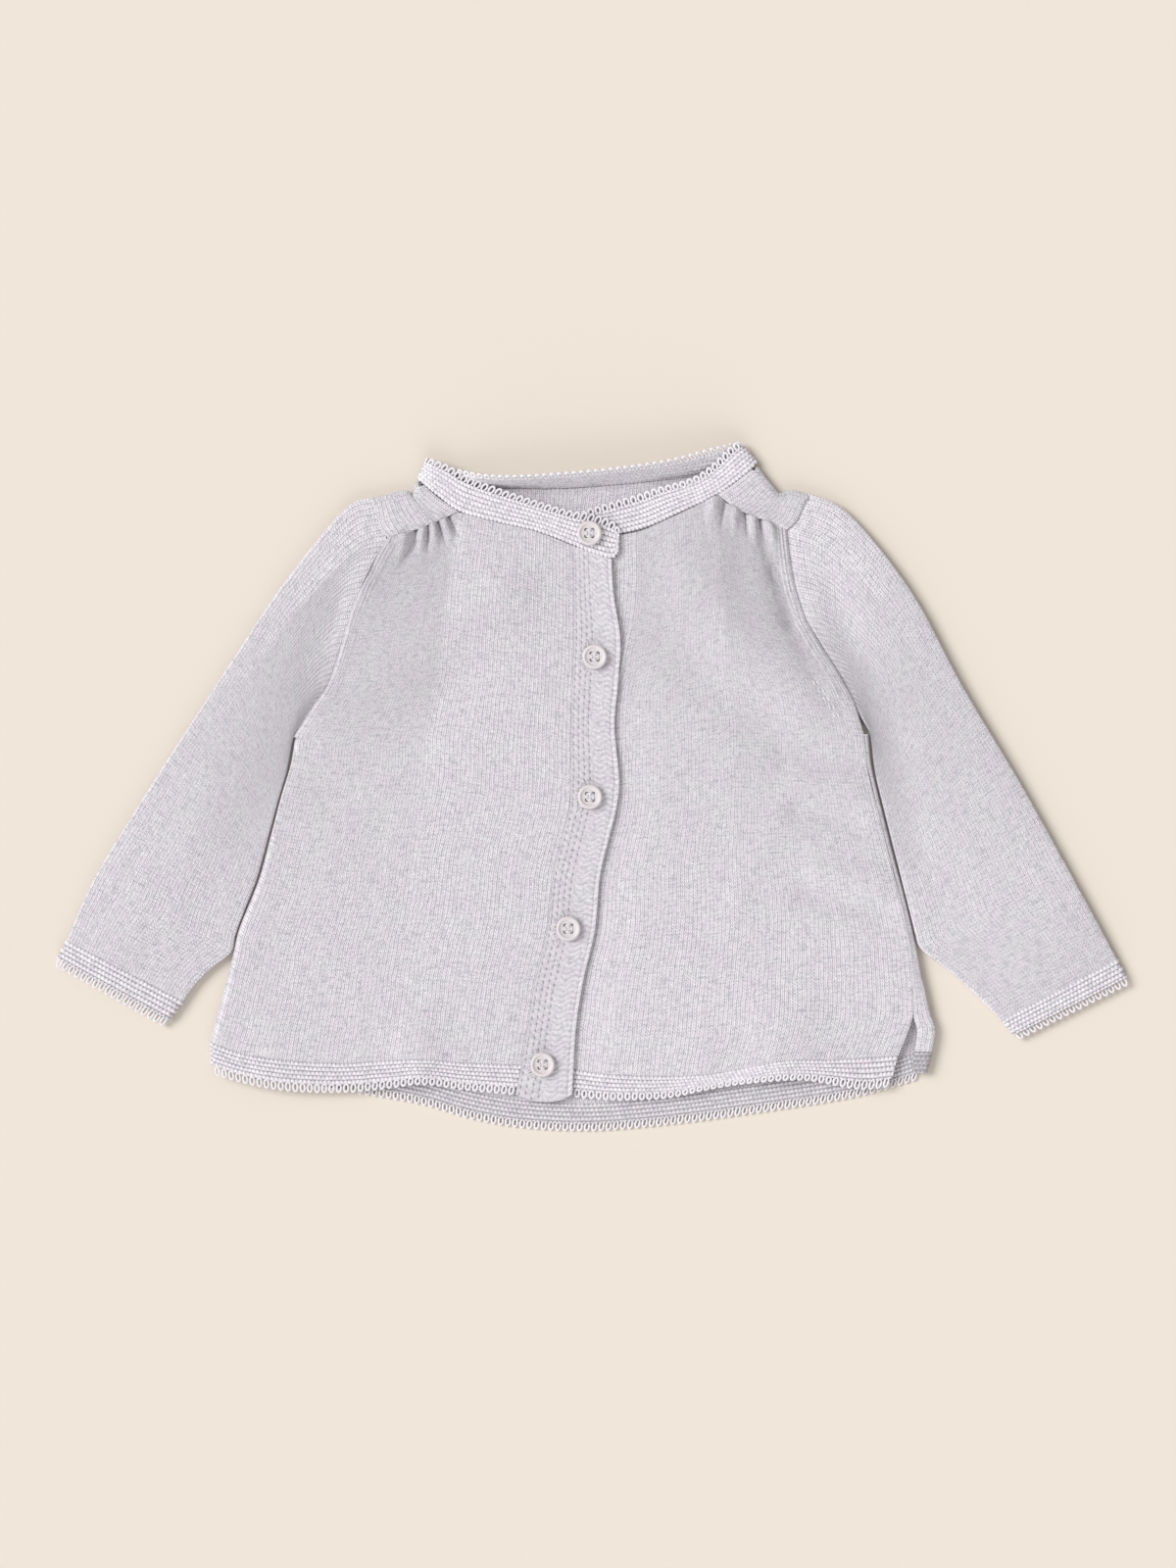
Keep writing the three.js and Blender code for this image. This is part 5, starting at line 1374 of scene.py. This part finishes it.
# The yarn's marks, each laid over the ones before: colour, size across and along in metres of cloth,
# detail and roughness of the noise, between which values it starts and is full, and its most
HEATHER = (
    ("lilac", 0.016, 0.009, 2.0, 0.5, 0.38, 0.64, 1.0),
    ("grey", 0.0052, 0.0011, 3.0, 0.6, 0.5, 0.74, 0.75),
    ("grey", 0.001, 0.0036, 2.0, 0.7, 0.5, 0.7, 0.6),
    ("grey", 0.0019, 0.0009, 2.0, 0.8, 0.52, 0.74, 0.95),
)


def heather(graph, vector):
    """Mottled colour of the yarn: a faint lilac cast, streaks along the courses, dashes and flecks."""
    cloth = bpy.context.scene.cardigan_cloth
    colour = (*cloth.pale, 1.0)
    for tint, across, along, detail, roughness, start, full, most in HEATHER:
        marks = graph.noise(graph.stretched(vector, across, along), 1.0, detail, roughness)
        colour = graph.mix(graph.range(marks, start, full, 0.0, most), colour, (*getattr(cloth, tint), 1.0))
    return colour


def stitches(graph, uv, wale, course):
    """Height of plain knitting: two slanting legs to each wale."""
    parts = graph.add("ShaderNodeSeparateXYZ", {0: uv}).outputs
    waver = graph.noise(graph.stretched(uv, 0.006, 0.012), 1.0, 2.0)
    u = graph.plus(graph.math("DIVIDE", parts[0], wale), graph.times(waver, 0.9))
    v = graph.plus(graph.math("DIVIDE", parts[1], course), graph.times(waver, 0.5))
    away = graph.times(graph.math("ABSOLUTE", graph.minus(graph.math("FRACT", u), 0.5)), 2.0)
    beside = graph.math("ABSOLUTE", graph.minus(graph.times(away, 2.0), 1.0))
    leg = graph.minus(1.0, graph.math("POWER", beside, 2.0))
    phase = graph.plus(v, graph.times(away, 0.75))
    turn = graph.math("COSINE", graph.times(phase, 2 * math.pi))
    loop = graph.plus(0.62, graph.times(turn, 0.38))
    middle = graph.times(graph.minus(1.0, away), 0.3)
    return graph.math("MAXIMUM", graph.times(leg, loop), middle)


YARN_BUMP = 0.0002
BAND_BUMP = 0.00018


def knit_material(name):
    material = bpy.data.materials.get(name)
    if material:
        return material
    material = bpy.data.materials.new(name)
    graph = Graph(material)
    if name == PLASTIC:
        plastic_nodes(graph)
        return material
    cloth = bpy.context.scene.cardigan_cloth
    object_place = graph.add("ShaderNodeTexCoord").outputs["Object"]
    uv = graph.add("ShaderNodeTexCoord").outputs["UV"]
    fuzz = graph.noise(object_place, 2600.0, 3.0, 0.7)
    if name == YARN:
        colour = (*(c * cloth.yarn_shade for c in cloth.pale), 1.0)
        height = fuzz
        deep = YARN_BUMP
    else:
        colour = heather(graph, uv)
        plain = stitches(graph, uv, cloth.wale, cloth.course)
        if name == PALE_KNIT:
            height = graph.plus(plain, graph.times(fuzz, 0.5))
            # Painted shade between the stitches: the colour is darkened where the stitch height is low
            gaps = graph.range(plain, 0.05, 0.6)
            colour = graph.mix(gaps, graph.shaded(colour, cloth.painted_gap_shade), colour)
            deep = cloth.stitch_depth
        else:
            height = graph.plus(graph.times(plain, 0.25), fuzz)
            # Painted shade in the hollows: the colour darkens where the relief attribute is low, between
            # garter ridges and in open stitches
            top = graph.add("ShaderNodeAttribute", attribute_name="relief").outputs["Fac"]
            gaps = graph.range(top, 0.2, 0.75)
            light = graph.shaded(colour, cloth.band_shade)
            colour = graph.mix(gaps, graph.shaded(colour, cloth.painted_hollow_shade), light)
            deep = BAND_BUMP
    bump = graph.add("ShaderNodeBump", {"Strength": 1.0, "Distance": deep, "Height": height})
    graph.finish({
        "Base Color": colour, "Roughness": 0.92, "Specular IOR Level": 0.15,
        "Sheen Weight": 0.12, "Sheen Roughness": 0.6, "Normal": bump.outputs[0],
    })
    return material


def plastic_nodes(graph):
    colour = bpy.context.scene.cardigan_button.colour
    place = graph.add("ShaderNodeTexCoord").outputs["Object"]
    cloud = graph.noise(place, 120.0, 2.0)
    graph.finish({
        "Base Color": graph.mix(cloud, (*colour, 1.0), (*(c * 0.94 for c in colour), 1.0)),
        "Roughness": 0.38, "Specular IOR Level": 0.45, "Subsurface Weight": 0.1, "Subsurface Scale": 0.001,
    })


# Settings

class CardiganClothSettings(bpy.types.PropertyGroup):
    thickness: FloatProperty(
        name="Thickness", description="Thickness of the knit", default=1.15 * MM, unit="LENGTH"
    )
    wale: FloatProperty(name="Wale", description="Width of one stitch", default=1.75 * MM, unit="LENGTH")
    course: FloatProperty(
        name="Course", description="Height of one stitch", default=1.3 * MM, unit="LENGTH"
    )
    stitch_depth: FloatProperty(
        name="Stitch depth", description="How deep the stitches are drawn",
        default=0.42 * MM, unit="LENGTH",
    )
    # Painted shade: how bright the colour is painted between the stitches
    painted_gap_shade: FloatProperty(
        name="Gap shade", description="Brightness between the stitches", default=0.56, subtype="FACTOR"
    )
    # Painted shade: how bright the colour is painted between garter ridges
    painted_hollow_shade: FloatProperty(
        name="Hollow shade", description="Brightness between garter ridges",
        default=0.38, subtype="FACTOR",
    )
    band_shade: FloatProperty(
        name="Band shade", description="Brightness of the bands beside the body",
        default=0.9, subtype="FACTOR",
    )
    yarn_shade: FloatProperty(
        name="Yarn shade", description="Brightness of loops and sewing",
        default=0.84, subtype="FACTOR", max=2.0,
    )
    pale: FloatVectorProperty(
        name="Pale yarn", description="Lightest colour of the yarn",
        default=(0.95, 0.917, 0.955), subtype="COLOR",
    )
    lilac: FloatVectorProperty(
        name="Lilac yarn", description="Faint lilac of the yarn",
        default=(0.94, 0.865, 0.945), subtype="COLOR",
    )
    grey: FloatVectorProperty(
        name="Grey yarn", description="Grey flecks of the yarn",
        default=(0.54, 0.54, 0.59), subtype="COLOR",
    )


class CardiganBandSettings(bpy.types.PropertyGroup):
    ridge_pitch: FloatProperty(
        name="Ridge pitch", description="From one garter ridge to the next",
        default=2.05 * MM, unit="LENGTH",
    )
    bump_pitch: FloatProperty(
        name="Bump pitch", description="From one garter bump to the next", default=1.9 * MM, unit="LENGTH"
    )
    ridge_rise: FloatProperty(
        name="Ridge rise", description="How far a garter ridge stands out",
        default=0.8 * MM, unit="LENGTH",
    )


class CardiganPicotSettings(bpy.types.PropertyGroup):
    pitch: FloatProperty(
        name="Pitch", description="From loop to loop at hems", default=3.3 * MM, unit="LENGTH"
    )
    neck_pitch: FloatProperty(
        name="Neck pitch", description="From loop to loop at the neck", default=3.4 * MM, unit="LENGTH"
    )
    neck_height: FloatProperty(
        name="Neck height", description="Height of the loops at the neck", default=3.1 * MM, unit="LENGTH"
    )
    yarn: FloatProperty(
        name="Yarn", description="Radius of the loops' yarn", default=0.6 * MM, unit="LENGTH"
    )


class CardiganPlacketSettings(bpy.types.PropertyGroup):
    rib_pitch: FloatProperty(
        name="Rib pitch", description="From rib to rib", default=2.35 * MM, unit="LENGTH"
    )
    rib_depth: FloatProperty(
        name="Rib depth", description="Depth of the open stitches", default=0.7 * MM, unit="LENGTH"
    )
    rib_stitch: FloatProperty(
        name="Rib stitch", description="From one open stitch to the next", default=3.2 * MM, unit="LENGTH"
    )


class CardiganButtonSettings(bpy.types.PropertyGroup):
    radius: FloatProperty(name="Radius", description="Radius of a button", default=5.65 * MM, unit="LENGTH")
    height: FloatProperty(
        name="Height", description="Thickness of a button", default=2.3 * MM, unit="LENGTH"
    )
    hole: FloatProperty(name="Hole", description="Radius of each hole", default=0.85 * MM, unit="LENGTH")
    buttonhole: FloatProperty(
        name="Buttonhole", description="Length of a buttonhole with its stitches",
        default=15 * MM, unit="LENGTH",
    )
    stitches: IntProperty(
        name="Stitches", description="Thread stitches across the holes", default=4, min=1, max=4
    )
    colour: FloatVectorProperty(
        name="Colour", description="Colour of the plastic", default=(0.66, 0.62, 0.63), subtype="COLOR"
    )


class CardiganStageSettings(bpy.types.PropertyGroup):
    floor: FloatVectorProperty(
        name="Floor", description="Colour of the surface below",
        default=(0.719, 0.653, 0.579), subtype="COLOR",
    )
    lens: FloatProperty(name="Lens", description="Focal length in millimetres", default=85.0)
    distance: FloatProperty(
        name="Distance", description="Height of the camera over the garment", default=1.7, unit="LENGTH"
    )
    key: FloatProperty(name="Key", description="Strength of the light from the upper left", default=2.5)
    front: FloatProperty(name="Front", description="Strength of the light from the hem's side", default=1.3)
    fill: FloatProperty(name="Fill", description="Strength of the soft light all round", default=0.515)


SETTINGS = {
    "cardigan_cloth": CardiganClothSettings,
    "cardigan_band": CardiganBandSettings,
    "cardigan_picot": CardiganPicotSettings,
    "cardigan_placket": CardiganPlacketSettings,
    "cardigan_button": CardiganButtonSettings,
    "cardigan_stage": CardiganStageSettings,
}


# Operators

def need_frame():
    if "button_3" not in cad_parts:
        raise RuntimeError("the CAD frame has no button_3 to place the pieces by")


class CARDIGAN_OT_back(bpy.types.Operator):
    """Builds the back with its yokes, its strip at the right and its hem band"""

    bl_idname = "cardigan.back"
    bl_label = "Back and its hem"

    def execute(self, context):
        need_frame()
        back = build_back()
        hem, loops = build_back_hem()
        return {"FINISHED"}


class CARDIGAN_OT_fronts(bpy.types.Operator):
    """Builds the two gathered fronts and their hem bands"""

    bl_idname = "cardigan.fronts"
    bl_label = "Fronts and their hems"

    def execute(self, context):
        need_frame()
        for side, area in (("left", 0.0335), ("right", 0.0305)):
            front = build_front(side, f"front_{side}")
            hem, loops = build_front_hem(side, f"hem_front_{side}")
        return {"FINISHED"}


class CARDIGAN_OT_sleeves(bpy.types.Operator):
    """Builds the two sleeves and their cuff bands"""

    bl_idname = "cardigan.sleeves"
    bl_label = "Sleeves and cuffs"

    def execute(self, context):
        need_frame()
        for side in SIDE:
            sleeve = build_sleeve(side, f"sleeve_{side}")
            band, loops = build_cuff(side, f"cuff_{side}")
        return {"FINISHED"}


class CARDIGAN_OT_bands(bpy.types.Operator):
    """Builds the neckband with its looped edge, and the two front bands"""

    bl_idname = "cardigan.bands"
    bl_label = "Neckband and front bands"

    def execute(self, context):
        need_frame()
        neckband, loops = build_neckband()
        build_placket("over", "placket_over")
        build_placket("under", "placket_under")
        return {"FINISHED"}


class CARDIGAN_OT_buttons(bpy.types.Operator):
    """Builds the buttons, their thread, the buttonholes and the fashioning marks"""

    bl_idname = "cardigan.buttons"
    bl_label = "Buttons and sewing"

    def execute(self, context):
        need_frame()
        for name in BUTTONS:
            build_button(name)
            build_button_thread(name)
        for name in BUTTONHOLES:
            build_buttonhole(name)
        build_marks()
        return {"FINISHED"}


# The studio, in metres and degrees
FLOOR_REACH = 3.0
FLOOR_GAP = 0.0002
KEY_PLACE = (-1.25, 0.5, 1.25)
KEY_SPREAD = 32
FRONT_PLACE = (0.0, -1.5, 0.6)
FRONT_SPREAD = 60
FILL_COLOUR = (1.0, 0.995, 0.985, 1.0)
SENSOR_WIDTH = 36.0
CAMERA_OVER = (-0.0018, 0.0009)


def add_sun(name, strength, spread, place):
    """A soft sun that shines from this place on the middle of the garment."""
    light = bpy.data.lights.new(name, "SUN")
    light.energy = strength
    light.angle = math.radians(spread)
    sun = bpy.data.objects.new(name, light)
    sun.location = place
    ahead = Vector((0.0, 0.0, 0.0)) - Vector(place)
    sun.rotation_euler = ahead.to_track_quat("-Z", "Y").to_euler()
    bpy.context.scene.collection.objects.link(sun)
    return sun


class CARDIGAN_OT_stage(bpy.types.Operator):
    """Builds the pale surface, the soft studio light and the camera straight above"""

    bl_idname = "cardigan.stage"
    bl_label = "Studio"

    def execute(self, context):
        stage = context.scene.cardigan_stage
        bm = bmesh.new()
        bmesh.ops.create_grid(bm, x_segments=1, y_segments=1, size=FLOOR_REACH)
        for vert in bm.verts:
            vert.co.z = -FLOOR_GAP
        mesh = bpy.data.meshes.new("floor")
        bm.to_mesh(mesh)
        bm.free()
        floor = bpy.data.objects.new("floor", mesh)
        context.scene.collection.objects.link(floor)
        material = bpy.data.materials.new("floor_paper")
        floor_inputs = {"Base Color": (*stage.floor, 1.0), "Roughness": 1.0, "Specular IOR Level": 0.0}
        Graph(material).finish(floor_inputs)
        floor.data.materials.append(material)
        key_object = add_sun("key", stage.key, KEY_SPREAD, KEY_PLACE)
        front_object = add_sun("front", stage.front, FRONT_SPREAD, FRONT_PLACE)
        world = bpy.data.worlds.new("studio")
        world.use_nodes = True
        background = world.node_tree.nodes["Background"]
        background.inputs[0].default_value = FILL_COLOUR
        background.inputs[1].default_value = stage.fill
        context.scene.world = world
        camera = bpy.data.cameras.new("camera")
        camera.lens = stage.lens
        camera.sensor_width = SENSOR_WIDTH
        camera.dof.use_dof = False
        camera_object = bpy.data.objects.new("camera", camera)
        camera_object.location = (*CAMERA_OVER, stage.distance)
        context.scene.collection.objects.link(camera_object)
        context.scene.camera = camera_object
        context.scene.view_settings.view_transform = "Standard"
        context.scene.view_settings.look = "None"
        return {"FINISHED"}


class CARDIGAN_PT_panel(bpy.types.Panel):
    """Sidebar panel with the settings and one button for each group of pieces"""

    bl_idname = "CARDIGAN_PT_panel"
    bl_label = "Cardigan"
    bl_space_type = "VIEW_3D"
    bl_region_type = "UI"
    bl_category = "Cardigan"

    def draw(self, context):
        for name, group in SETTINGS.items():
            box = self.layout.box()
            box.label(text=name.removeprefix("cardigan_").title())
            for key in group.__annotations__:
                box.prop(getattr(context.scene, name), key)
        for operator in OPERATORS:
            self.layout.operator(operator.bl_idname)


OPERATORS = (
    CARDIGAN_OT_back, CARDIGAN_OT_fronts, CARDIGAN_OT_sleeves, CARDIGAN_OT_bands, CARDIGAN_OT_buttons,
    CARDIGAN_OT_stage,
)
CLASSES = (*SETTINGS.values(), *OPERATORS, CARDIGAN_PT_panel)


def register():
    for cls in CLASSES:
        bpy.utils.register_class(cls)
    for name, group in SETTINGS.items():
        setattr(bpy.types.Scene, name, PointerProperty(type=group))


def unregister():
    for name in SETTINGS:
        delattr(bpy.types.Scene, name)
    for cls in reversed(CLASSES):
        bpy.utils.unregister_class(cls)


def main():
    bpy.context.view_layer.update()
    register()
    bpy.ops.cardigan.back()
    bpy.ops.cardigan.fronts()
    bpy.ops.cardigan.sleeves()
    bpy.ops.cardigan.bands()
    bpy.ops.cardigan.buttons()
    bpy.ops.cardigan.stage()


if __name__ == "__main__":
    main()
